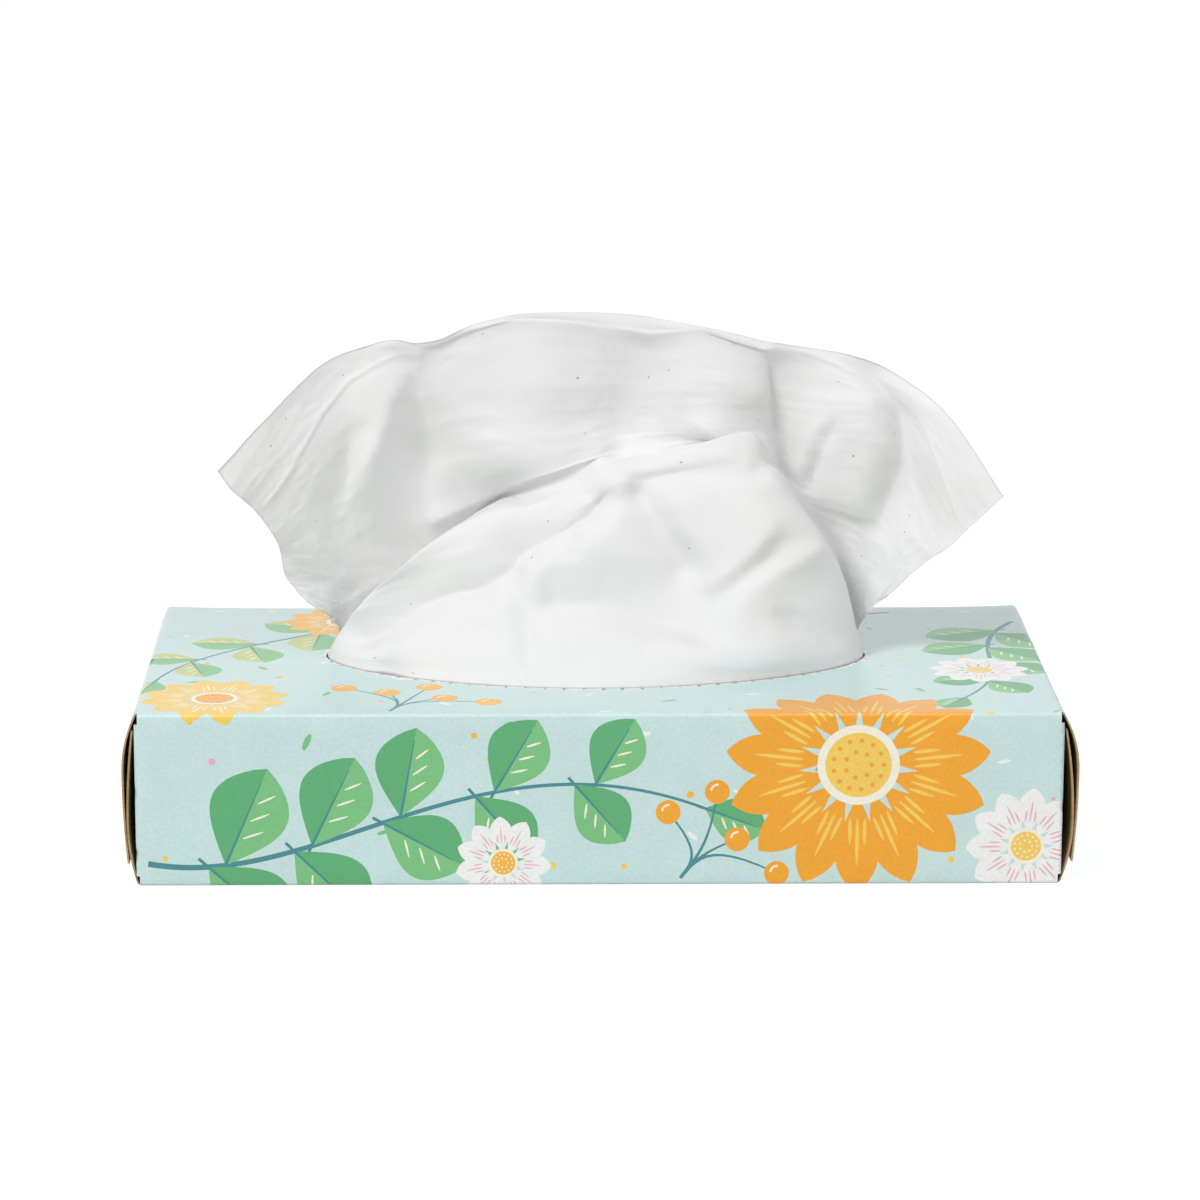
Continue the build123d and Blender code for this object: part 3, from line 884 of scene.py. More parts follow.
@dataclass
class Carton:
    """The folded, printed blank.

    A point of the flat blank has u, along the box from its middle, and v, round the girth from
    the fold between the front and the top panel: v grows over the top and down the back, and
    falls down the front and under the bottom.
    """

    panel_length: float = 230.0
    depth: float = 115.0
    height: float = 44.0
    board: float = 0.45
    crease_radius: float = 0.9
    seam_flap_width: float = 16.0
    seam_film: float = 0.15
    flap_side_relief: float = 0.4
    right_bow: float = 4.0
    left_bow: float = 3.3
    outer_tip_gap: float = 5.5
    outer_bow_level: float = 15.0
    outer_tip_depth: float = 1.1
    inner_tip_gap: float = 4.5
    inner_bow_level: float = 16.0
    inner_tip_offset: float = 0.75
    glue_room: float = 0.27
    dust_flap_length: float = 32.0
    dust_flap_relief: float = 2.5
    dust_flap_taper: float = 5.0
    opening_half_width: float = 70.0
    opening_half_depth: float = 36.5
    opening_offset: float = 4.0
    opening_roundness: float = 1.8
    oval_points: int = 2400
    perforation_pitch: float = 4.85
    notch_width: float = 0.6
    notch_depth: float = 1.4
    torn_pitch: float = 0.7
    torn_play: float = 0.16
    torn_step: float = 0.22
    torn_seed: int = 5
    band_width: float = 0.7
    band_play: float = 0.55
    band_cells: int = 260
    band_stride: int = 4
    band_seed: int = 9
    strip_turn: float = 0.62
    strip_spread: float = 0.008
    strip_width: float = 1.9
    torn_margin: float = 3.0
    grid_step: float = 4.0
    edge_step: float = 0.45
    fold_steps: int = 4
    flap_margin: float = 5.0
    print_past_fold: float = 38.0
    panel_wave: float = 0.12
    wave_pitch: float = 23.0
    wave_start: float = 0.7
    sway_pitch: float = 61.0
    still_ends: int = 6
    top_rise: Flat = (0.6, 1.0)
    wall_rise: Flat = (0.9, 1.0)
    corner_lift: float = 0.55
    corner_power: int = 10
    corner_back: Flat = (0.1, 1.0)
    corner_up: Flat = (0.3, 1.0)
    # Paleness along the folds: partly cracked board, partly a painted highlight; rubbed board at the
    # corners
    fold_rub_and_highlight: float = 0.62
    fold_rub_and_highlight_reach: float = 0.55
    corner_wear: float = 0.9
    corner_wear_reach: float = 2.2
    sharp_angle: float = 35.0

    def __post_init__(self) -> None:
        """Work out the sleeve's path and where each panel lies along it."""
        self.fold_arc = self.crease_radius * math.pi / 2
        quarter = (self.fold_arc, -math.pi / 2)
        wide = self.depth - 2 * self.crease_radius
        tall = self.height - 2 * self.crease_radius
        last = tall - (self.board + self.seam_film)
        seam = self.seam_flap_width - self.crease_radius + self.board / 2
        runs = []
        for panel in (wide, tall, wide, last):
            runs += [(panel, 0.0), quarter]
        runs.append((seam, 0.0))
        self.sleeve = ArcPath((self.depth / 2 - self.crease_radius, 0.0), math.pi, tuple(runs))
        self.fold_start = wide + self.fold_arc * 1.5 + tall
        ends = np.concatenate([[0.0], np.cumsum([run[0] for run in runs])]) - self.fold_start
        names = ("bottom", "front", "top", "back", "seam")
        self.spans = {name: (ends[2 * at], ends[2 * at + 1]) for at, name in enumerate(names)}
        self.folds = np.array([self.spans[name][1] for name in names[:4]])
        self.crease_line = self.panel_length / 2 - self.crease_radius

    def closing_fold(self, side: int, outer: bool) -> Fold:
        """The sizes of one closing flap.

        Args:
            side: 1 for the right end, -1 for the left end.
            outer: Whether it is the outer flap, from the top panel.

        Returns:
            The flap's fold.
        """
        bow = self.right_bow if side > 0 else self.left_bow
        outer_length = self.height - self.outer_tip_gap
        if outer:
            return Fold(bow, self.outer_bow_level, bow - self.outer_tip_depth, outer_length)
        rise = outer_length - self.outer_bow_level
        radius = (rise**2 + self.outer_tip_depth**2) / (2 * self.outer_tip_depth)
        below = self.height - self.outer_bow_level - self.inner_bow_level
        drawn_back = radius - math.sqrt(radius**2 - below**2)
        own_bow = bow - drawn_back - self.board - self.glue_room
        length = self.height - self.inner_tip_gap
        return Fold(own_bow, self.inner_bow_level, self.inner_tip_offset, length)

    def flap_path(self, side: int, panel: str) -> ArcPath:
        """The outside of the flap that a panel carries at one end.

        Args:
            side: 1 for the right end, -1 for the left end.
            panel: top, bottom, front or back.

        Returns:
            The path, from the crease outwards.
        """
        if panel in ("top", "bottom"):
            return self.closing_fold(side, panel == "top").path(self.crease_radius)
        fold = (self.fold_arc, math.pi / 2)
        return ArcPath((0.0, 0.0), 0.0, (fold, (self.dust_flap_length - self.crease_radius, 0.0)))

    def flap_outline(self, side: int, panel: str) -> np.ndarray:
        """Outline of a flap on the flat blank, with many points along the sides that bend.

        Args:
            side: 1 for the right end, -1 for the left end.
            panel: top, bottom, front or back.

        Returns:
            The outline, two numbers a point.
        """
        low, high = self.spans[panel]
        root = self.crease_line
        tip = root + self.flap_path(side, panel).length()
        if panel in ("top", "bottom"):
            taper = 0.0
            low, high = low + self.flap_side_relief, high - self.flap_side_relief
        else:
            taper = self.dust_flap_taper
            relief = self.dust_flap_relief - self.crease_radius
            seam_room = self.board + self.seam_film if panel == "back" else 0.0
            low, high = low + relief, high - (relief - seam_room)
        near_low, far_low = np.array([(root, low), (tip, low + taper)])
        near_high, far_high = np.array([(root, high), (tip, high - taper)])
        share = regular_steps(0, 1, self.edge_step / (tip - root))[:, None]
        sides = [near_low + (far_low - near_low) * share, far_high + (near_high - far_high) * share]
        return np.concatenate(sides)[::side] * (side, 1)

    def folded(self, flat: np.ndarray) -> tuple[np.ndarray, np.ndarray]:
        """Fold points of the flat blank into the box.

        A point on a panel lies on the sleeve's section, drawn along the box. A point beyond an
        end crease leaves its panel along that flap's own path, outwards and then inwards.

        Args:
            flat: Points of the blank, two numbers each.

        Returns:
            The points in the box and the directions in which the printed side faces.
        """
        u, v = flat[:, 0], flat[:, 1]
        section, heading = self.sleeve.at(v + self.fold_start)
        facing = np.stack([np.zeros_like(u), -np.sin(heading), np.cos(heading)], 1)
        place = np.stack([np.clip(u, -self.crease_line, self.crease_line), *section.T], 1)
        normal = facing.copy()
        for side, panel in FLAPS:
            low, high = self.spans[panel]
            beyond = side * u - self.crease_line
            mine = (beyond > 0) & (v >= low - EDGE_PLAY) & (v <= high + EDGE_PLAY)
            offsets, turned_by = self.flap_path(side, panel).at(beyond[mine])
            place[mine, 0] += side * offsets[:, 0]
            place[mine] -= facing[mine] * offsets[:, 1:]
            normal[mine] = facing[mine] * np.cos(turned_by)[:, None]
            normal[mine, 0] += side * np.sin(turned_by)
        return place, normal

    def settled(self, place: np.ndarray) -> np.ndarray:
        """Let the panels stray a little from true, as thin board does.

        Flat sines make the panels wave by a tenth of a millimetre, and the back corners of the
        top stand up by half a millimetre, as powers of the shares along, back and up.

        Args:
            place: Points of the true box.

        Returns:
            The points after the board has strayed.
        """
        x, y, z = place.T
        along, back, up = np.abs(x) / self.crease_line, 2 * y / self.depth, z / self.height
        wave = np.sin(x / self.wave_pitch + self.wave_start) * np.cos(x / self.sway_pitch)
        wave = wave * self.panel_wave * (1 - along**self.still_ends).clip(0)
        moved = place.copy()
        moved[:, 2] += wave * np.cos(np.pi * back / 2).clip(0) * smooth_step(*self.top_rise, up)
        wall = np.sign(y) * smooth_step(*self.wall_rise, np.abs(back))
        moved[:, 1] += wave * np.sin(np.pi * up).clip(0) * wall
        corner = along.clip(0, 1) ** self.corner_power * smooth_step(*self.corner_back, back)
        moved[:, 2] += self.corner_lift * corner * smooth_step(*self.corner_up, up)
        return moved

    def top_point(self, x: np.ndarray, y: np.ndarray) -> np.ndarray:
        """Points of the flat blank that come to lie at x and y on the top panel."""
        return np.stack([x, self.spans["top"][0] + y + self.depth / 2 - self.crease_radius], 1)

    def oval_at(
        self, angle: np.ndarray, inset: np.ndarray | float
    ) -> tuple[np.ndarray, np.ndarray]:
        """Places on the opening's edge: a superellipse, set in or out from its true size.

        Args:
            angle: Angles round the oval, in radians.
            inset: How far in from the edge.

        Returns:
            The places along the box and back from its middle.
        """
        along, back = np.cos(angle), np.sin(angle)
        power = self.opening_roundness
        size = (np.abs(along) ** power + np.abs(back) ** power) ** (-1 / power)
        x = (self.opening_half_width - inset) * size * along
        return x, self.opening_offset + (self.opening_half_depth - inset) * size * back

    def oval(self, inset: np.ndarray | float) -> np.ndarray:
        """The opening's edge on the flat blank, set in or out from its true size."""
        angle = np.arange(self.oval_points) * 2 * math.pi / self.oval_points
        return self.top_point(*self.oval_at(angle, inset))

    def torn_outline(self) -> np.ndarray:
        """The oval as torn: a notch at every cut of the perforation, a ragged edge between.

        The outline is measured along its length, and a place within half a notch's width of a
        multiple of the pitch goes out by the notch's depth.

        Returns:
            The outline on the flat blank.
        """
        edge = self.oval(0.0)
        steps = np.linalg.norm(np.roll(edge, -1, 0) - edge, axis=1)
        run = np.concatenate([[0.0], np.cumsum(steps)[:-1]])
        total = steps.sum()
        pitch = total / round(total / self.perforation_pitch)
        from_cut = np.abs((run / pitch + 0.5) % 1 - 0.5) * pitch
        cells = (1, round(total / self.torn_pitch))
        rng = np.random.default_rng(self.torn_seed)
        ragged = soft_noise(rng, (2, len(edge)), cells)[0] * self.torn_play
        ragged *= smooth_step(self.notch_width / 2, self.notch_width, from_cut)
        out = np.where(from_cut < self.notch_width / 2, self.notch_depth, ragged)
        return self.oval(-out)[:: max(1, round(self.torn_step / steps.mean()))]

    def torn_band(self) -> np.ndarray:
        """Outline round the oval within which the print has torn away from the fibre.

        A ragged band, wider at one place, where a strip of the print has come off: there it
        bulges as a bell curve.

        Returns:
            The outline on the flat blank.
        """
        rng = np.random.default_rng(self.band_seed)
        ragged = soft_noise(rng, (2, self.oval_points), (1, self.band_cells))[0]
        turn = np.arange(self.oval_points) / self.oval_points
        strip = np.exp(-(((turn - self.strip_turn) / self.strip_spread) ** 2))
        width = self.band_width + ragged * self.band_play + self.strip_width * strip
        return self.oval(-width)[:: self.band_stride]

    def artwork(self) -> list[Patch]:
        """The print: flower heads, round-leaved sprigs, berries and strewn spots.

        Returns:
            The patches in the order of printing.
        """
        reach = self.crease_line + self.print_past_fold
        low, high = (-reach, self.spans["bottom"][0]), (reach, self.spans["back"][1])
        green, olive = (Ink.LEAF, Ink.DEEP_LEAF), (Ink.OLIVE, Ink.LEAF)
        orange, gold = (Ink.ORANGE, Ink.GOLD, Ink.GOLD), (Ink.GOLD, Ink.CREAM, Ink.ORANGE)
        white, amber = (Ink.WHITE, Ink.PINK), (Ink.AMBER, Ink.CREAM, Ink.ORANGE)
        motifs = [
            Sprig(((-112, -38), (-70, -46), (-30, -2), (26, -24)), 27.0, 5, *green),
            Sprig(((-40, 112), (-70, 84), (-104, 70), (-112, 34)), 22.0, 4, *olive),
            Sprig(((112, 96), (94, 70), (110, 44), (92, 16)), 21.0, 4, *green),
            Sprig(((-90, 160), (-30, 128), (30, 150), (96, 128)), 24.0, 5, *green),
            Sprig(((-100, -70), (-40, -110), (20, -80), (90, -120)), 26.0, 5, *green),
            BerrySpray((-52, 3), 1.2, 26.0, 5, Ink.AMBER),
            BerrySpray((20, -42), 0.9, 24.0, 4, Ink.ORANGE),
            BerrySpray((80, 108), 3.4, 28.0, 5, Ink.GOLD),
            BerrySpray((-20, 106), 5.2, 22.0, 4, Ink.AMBER),
            Blossom((64, -13), 33.0, 15, *orange, 0.1),
            Blossom((-96, 16), 19.0, 12, *gold, 0.2),
            Blossom((106, -34), 15.0, 11, *white, Ink.GOLD, 0.3),
            Blossom((-24, -38), 12.0, 11, *white, Ink.AMBER, 0.5),
            Blossom((98, 44), 13.0, 11, *white, Ink.GOLD, 0.1),
            Blossom((-66, 98), 17.0, 12, *amber),
            Blossom((52, 98), 20.0, 13, *orange),
            Blossom((-60, 140), 22.0, 13, *orange),
            Blossom((40, 132), 14.0, 11, *white, Ink.GOLD),
            Blossom((-20, -94), 26.0, 14, *orange),
            Blossom((134, 60), 15.0, 11, *gold),
            Blossom((-132, 78), 15.0, 11, *white, Ink.GOLD),
        ]
        shapes = Confetti().patches(low, high)
        for motif in motifs:
            shapes += motif.patches()
        return shapes

    def grid(self) -> tuple[np.ndarray, list[tuple[int, int]]]:
        """Points spread over the blank, and the fold lines that its triangles must follow.

        Returns:
            The points and the pairs of them that are joined.
        """
        steps = self.fold_steps + 1
        folds = np.concatenate([np.linspace(at, at + self.fold_arc, steps) for at in self.folds])
        rows = [folds]
        for low, high in self.spans.values():
            rows.append(regular_steps(low, high, self.grid_step)[1:-1])
        columns = regular_steps(-self.crease_line, self.crease_line, self.grid_step)
        points = [lattice(columns, np.concatenate(rows)), lattice(folds, columns[[0, -1]])[:, ::-1]]
        base = len(points[0])
        edges = [(base + 2 * line, base + 2 * line + 1) for line in range(len(folds))]
        for side, panel in FLAPS:
            low, high = self.spans[panel]
            path = self.flap_path(side, panel)
            arc = path.runs[0][0]
            lines = np.linspace(0, arc, steps)
            beyond = regular_steps(arc, path.length(), self.grid_step)[1:-1]
            outs = side * (self.crease_line + np.concatenate([lines, beyond]))
            across = regular_steps(low + self.flap_margin, high - self.flap_margin, self.grid_step)
            points.append(lattice(outs, across))
        return np.concatenate(points), edges

    def cut_triangles(self) -> tuple[np.ndarray, np.ndarray, np.ndarray]:
        """Triangulate the flat blank so that every printed outline is an edge.

        A triangle takes the ink of the uppermost outline that holds it, and those in the opening
        or outside the blank are left out.

        Returns:
            The flat points, the triangles and, for each triangle, its ink in linear light.
        """
        shapes = self.artwork()
        end, low, high = self.crease_line, self.spans["bottom"][0], self.spans["seam"][1]
        blank = [np.array([(-end, low), (end, low), (end, high), (-end, high)])]
        blank += [self.flap_outline(side, panel) for side, panel in FLAPS]
        outlines = blank + [shape.outline for shape in shapes]
        outlines += [self.torn_band(), self.torn_outline()]
        points, edges = self.grid()
        faces, base = [], len(points)
        for outline in outlines:
            ahead = np.roll(outline, -1, 0)
            area = np.sum(outline[:, 0] * ahead[:, 1] - outline[:, 1] * ahead[:, 0])
            ring = np.arange(base, base + len(outline))
            faces.append((ring if area > 0 else ring[::-1]).tolist())
            base += len(outline)
        flat = [tuple(point) for point in np.concatenate([points, *outlines]).tolist()]
        made = delaunay_2d_cdt(flat, edges, faces, 0, SAME_POINT, True)
        vertices, triangles, owners = made[0], made[2], made[5]
        uppermost = np.array([max(owner, default=-1) for owner in owners])
        lowest = np.array([min(owner, default=len(outlines)) for owner in owners])
        kept = (lowest < len(blank)) & (uppermost != len(outlines) - 1)
        inks = [Ink.GROUND] * len(blank) + [shape.ink for shape in shapes] + [Ink.FIBRE] * 2
        palette = np.array([linear(ink.value) for ink in inks])
        points = np.array([tuple(point) for point in vertices])
        return points, np.array(triangles)[kept], palette[uppermost[kept]]

    def wear_and_fold_highlight(self, flat: np.ndarray) -> np.ndarray:
        """How pale the print turns at each point: most on the folds and at their ends.

        It falls off as the exponential of the distance from the nearest fold's middle. Along the folds
        it is a painted highlight over cracked board, and at the corners rubbed board.

        Args:
            flat: Points of the blank, two numbers each.

        Returns:
            The paleness, from 0 to about 1.
        """
        middles = self.folds + self.fold_arc / 2
        across = np.abs(flat[:, 1:] - middles[None]).min(1)
        ends = np.abs(np.abs(flat[:, 0]) - self.crease_line - self.fold_arc / 2)
        # Painted highlight along every fold, over cracked board; rubbed board at the corners
        fold = self.fold_rub_and_highlight * np.exp(-np.minimum(across, ends) / self.fold_rub_and_highlight_reach)
        corner = self.corner_wear * np.exp(-(across + ends) / self.corner_wear_reach)
        return np.maximum(fold, corner)

    def build(self) -> bpy.types.Object:
        """Make the carton: printed skin outside, fibre inside, and the cut edges between.

        The inner skin is the outer one moved in by the board along the printed side's facing.

        Returns:
            The carton's object.
        """
        flat, triangles, inks = self.cut_triangles()
        used, triangles = np.unique(triangles, return_inverse=True)
        triangles = triangles.reshape(-1, 3)
        flat = flat[used]
        count = len(flat)
        outer, facing = self.folded(flat)
        inner = self.settled(outer - facing * self.board)
        outer = self.settled(outer)
        a, b, c = (outer[triangles[:, place]] for place in range(3))
        flipped = np.einsum("ij,ij->i", np.cross(b - a, c - a), facing[triangles[:, 0]]) < 0
        triangles[flipped] = triangles[flipped][:, ::-1]
        halves = np.concatenate([triangles[:, pair] for pair in ([0, 1], [1, 2], [2, 0])])
        start, end = halves.T.astype(np.int64)
        start, end = halves[~np.isin(start * count + end, end * count + start)].T
        below = [end, start, start + count], [end, start + count, end + count]
        walls = np.concatenate([np.stack(corners, 1) for corners in below])
        faces = np.concatenate([triangles, triangles[:, ::-1] + count, walls])
        middle = self.top_point(np.zeros(1), np.full(1, self.opening_offset))[0]
        room = np.array([self.opening_half_width, self.opening_half_depth]) + self.torn_margin
        torn = np.tile((np.abs((flat[start] - middle) / room) < 1).all(1), 2)
        slots = np.zeros(len(faces), np.int32)
        slots[len(triangles) :] = 1
        slots[-len(walls) :][torn] = 0
        shades = np.tile(np.array(linear(Ink.FIBRE.value)), (len(faces), 1))
        shades[: len(triangles)] = inks
        mesh = new_mesh("printed_carton", np.concatenate([outer, inner]), faces)
        paint = mesh.attributes.new("ink", "FLOAT_COLOR", "CORNER")
        paint.data.foreach_set("color", np.repeat(shades, 3, 0).astype(np.float32).ravel())
        # The pale mask: painted fold highlight and rubbed corners
        wear_and_highlight_attribute = mesh.attributes.new("wear_and_fold_highlight", "FLOAT", "POINT")
        amount = np.concatenate([self.wear_and_fold_highlight(flat), np.zeros(count)])
        wear_and_highlight_attribute.data.foreach_set("value", amount.astype(np.float32))
        mesh.materials.append(PrintedBoard().material())
        mesh.materials.append(FibreBoard().material())
        mesh.polygons.foreach_set("material_index", slots)
        mesh.set_sharp_from_angle(angle=math.radians(self.sharp_angle))
        carton = place_piece("printed_carton", mesh)
        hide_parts("carton")
        return carton


def new_mesh(name: str, points: np.ndarray, faces: np.ndarray) -> bpy.types.Mesh:
    """Make a smooth-shaded mesh from points in millimetres.

    Args:
        name: The mesh's name.
        points: Its points.
        faces: Its faces, all with the same number of corners.

    Returns:
        The mesh, in metres.
    """
    mesh = bpy.data.meshes.new(name)
    corners = faces.shape[1]
    mesh.vertices.add(len(points))
    mesh.vertices.foreach_set("co", (points * MILLIMETRE).astype(np.float32).ravel())
    mesh.loops.add(faces.size)
    mesh.loops.foreach_set("vertex_index", faces.astype(np.int32).ravel())
    mesh.polygons.add(len(faces))
    mesh.polygons.foreach_set("loop_start", np.arange(0, faces.size, corners, dtype=np.int32))
    mesh.update(calc_edges=True)
    mesh.shade_smooth()
    return mesh


def place_piece(name: str, mesh: bpy.types.Mesh) -> bpy.types.Object:
    """Put a mesh into the scene as a piece of the object.

    Args:
        name: The piece's name.
        mesh: Its mesh.

    Returns:
        The piece's object, at the origin.
    """
    piece = bpy.data.objects.new(name, mesh)
    bpy.context.scene.collection.objects.link(piece)
    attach(piece, BODY)
    return piece


class Layer(Enum):
    """Which rows of the sheet a crease lies in, as places down the net."""

    FAN = (-1.0, 4.75)
    FOLD = (3.9, 8.7)


@dataclass(frozen=True)
class Crease:
    """A crease in the standing sheet: a ridge or a valley along a line, seen from the front.

    The line is drawn in the photograph's frame, in pixels. The height is in millimetres towards
    the viewer, below zero in a valley. The flanks are the widths of its two sides, in
    millimetres: to the left and to the right of someone who walks along the line with the
    photograph's top at their left when they walk to its right edge. A soft crease is rounded.
    """

    layer: Layer
    height: float
    left_flank: float
    right_flank: float
    line: tuple[Flat, ...]
    soft: float = 0.35
    end_fade: float = 7.0
    fall: float = 1.5
    row_fade: float = 0.4

    def lift(self, seen: np.ndarray, pixels_per_mm: float, row: np.ndarray) -> np.ndarray:
        """How far the crease moves the sheet towards the viewer.

        Each flank falls from the line as the fall power of the share of its width that is left,
        over a distance that is rounded off near the line, and the crease fades out at both ends.

        Args:
            seen: Where the sheet's points are seen in the frame.
            pixels_per_mm: The frame's scale at the sheet.
            row: Places down the net.

        Returns:
            The moves, in millimetres.
        """
        places = seen / pixels_per_mm
        corners = np.array(self.line, float) / pixels_per_mm
        nearest = np.full(row.shape, np.inf)
        side, along = np.zeros(row.shape), np.zeros(row.shape)
        walked = 0.0
        for start, end in zip(corners, corners[1:]):
            run = end - start
            length = math.hypot(*run)
            offset = places - start
            share = ((offset @ run) / length**2).clip(0, 1)
            distance = np.hypot(*np.moveaxis(offset - share[..., None] * run, -1, 0))
            closer = distance < nearest
            nearest = np.where(closer, distance, nearest)
            turned_right = run[0] * offset[..., 1] - run[1] * offset[..., 0] > 0
            side = np.where(closer, turned_right, side)
            along = np.where(closer, walked + share * length, along)
            walked += length
        width = np.where(side, self.right_flank, self.left_flank)
        rounded = np.sqrt(nearest**2 + self.soft**2) - self.soft
        flank = (1 - rounded / width).clip(0) ** self.fall
        fade = min(self.end_fade, walked / 3)
        ends = smooth_step(0, fade, along) * smooth_step(0, fade, walked - along)
        low, high = self.layer.value
        inside = smooth_step(low, low + self.row_fade, row)
        inside = inside * (1 - smooth_step(high - self.row_fade, high, row))
        return self.height * flank * ends * inside


# The creases of the standing sheet, the fan's first and then those of its front fold
CREASES = (
    Crease(
        Layer.FAN, 9.0, 6.0, 32.0,
        ((330, 352), (400, 338), (455, 327), (505, 322), (540, 327), (580, 326), (630, 328), (655, 335),
         (710, 336), (770, 343), (830, 358)), 0.3, 22.0,
    ),
    Crease(
        Layer.FAN, 0.7, 5.0, 3.5,
        ((402, 365), (390, 390), (382, 430), (370, 460), (350, 500), (332, 535)),
    ),
    Crease(
        Layer.FAN, -0.6, 9.0, 10.0,
        ((395, 375), (402, 425), (412, 450), (424, 480), (438, 525)), 3.0,
    ),
    Crease(
        Layer.FAN, 3.2, 15.0, 6.0,
        ((415, 527), (470, 499), (500, 482), (540, 469), (590, 464), (622, 462)),
    ),
    Crease(Layer.FAN, -2.1, 9.0, 13.0, ((655, 325), (648, 380), (638, 420), (626, 456)), 3.0),
    Crease(Layer.FAN, 2.0, 7.0, 5.0, ((682, 416), (712, 432), (740, 447), (776, 466))),
    Crease(
        Layer.FAN, -1.3, 5.0, 2.4,
        ((757, 345), (762, 365), (767, 390), (772, 420), (780, 450), (787, 486)),
    ),
    Crease(Layer.FAN, 0.9, 1.6, 1.6, ((828, 408), (812, 440), (800, 470), (790, 490))),
    Crease(Layer.FAN, -1.4, 4.0, 1.6, ((836, 412), (822, 445), (808, 480), (800, 505))),
    Crease(
        Layer.FAN, 1.0, 8.0, 12.0,
        ((900, 408), (908, 440), (902, 470), (885, 500), (862, 522), (852, 545), (858, 590),
         (866, 620)), 2.0, 14.0,
    ),
    Crease(Layer.FAN, 0.35, 0.7, 0.7, ((922, 420), (942, 475), (962, 532)), 0.1),
    Crease(
        Layer.FAN, 0.4, 0.8, 0.8,
        ((258, 514), (285, 480), (305, 445), (325, 410), (350, 380), (405, 348)), 0.1,
    ),
    Crease(Layer.FAN, 0.3, 0.8, 0.8, ((785, 345), (835, 363), (892, 396)), 0.1),
    Crease(
        Layer.FOLD, -5.0, 9.0, 8.0,
        ((335, 648), (385, 622), (415, 602), (450, 590), (480, 585), (500, 570), (510, 555), (530, 540),
         (560, 525), (587, 512), (600, 495), (612, 478)), 0.15,
    ),
    Crease(
        Layer.FOLD, 4.0, 10.0, 7.0,
        ((585, 455), (625, 447), (690, 443), (740, 447), (775, 458)), 1.0, 8.0,
    ),
    Crease(Layer.FOLD, -2.2, 4.0, 9.0, ((498, 494), (540, 481), (600, 476)), 2.0),
    Crease(
        Layer.FOLD, -2.2, 6.0, 10.0,
        ((620, 475), (650, 474), (680, 467), (725, 462), (760, 462), (782, 469)),
    ),
    Crease(
        Layer.FOLD, -3.2, 5.0, 9.0,
        ((626, 472), (645, 500), (665, 530), (685, 560), (699, 590)), 0.8,
    ),
    Crease(
        Layer.FOLD, 2.0, 6.0, 14.0,
        ((782, 508), (768, 535), (752, 552), (735, 568), (715, 583), (693, 592)),
    ),
    Crease(
        Layer.FOLD, -0.9, 3.0, 3.0,
        ((788, 525), (768, 555), (745, 578), (722, 597), (702, 611)), 0.8,
    ),
    Crease(
        Layer.FOLD, 2.2, 8.0, 4.5,
        ((832, 543), (805, 555), (790, 565), (770, 580), (750, 595), (720, 634)),
    ),
    Crease(
        Layer.FOLD, -2.0, 3.0, 7.0,
        ((768, 624), (780, 615), (795, 617), (815, 628), (835, 642), (852, 657)),
    ),
    Crease(
        Layer.FOLD, -4.6, 14.0, 9.0,
        ((525, 599), (570, 603), (600, 601), (630, 608), (690, 625), (726, 632)), 0.2,
    ),
    Crease(
        Layer.FOLD, -2.2, 5.0, 4.0,
        ((509, 555), (517, 590), (524, 615), (527, 640), (530, 684)), 1.0,
    ),
    Crease(Layer.FOLD, -2.0, 2.0, 6.0, ((578, 528), (574, 548), (572, 564))),
    Crease(Layer.FOLD, 1.8, 8.0, 10.0, ((655, 628), (690, 650), (715, 668), (735, 682)), 1.0),
)

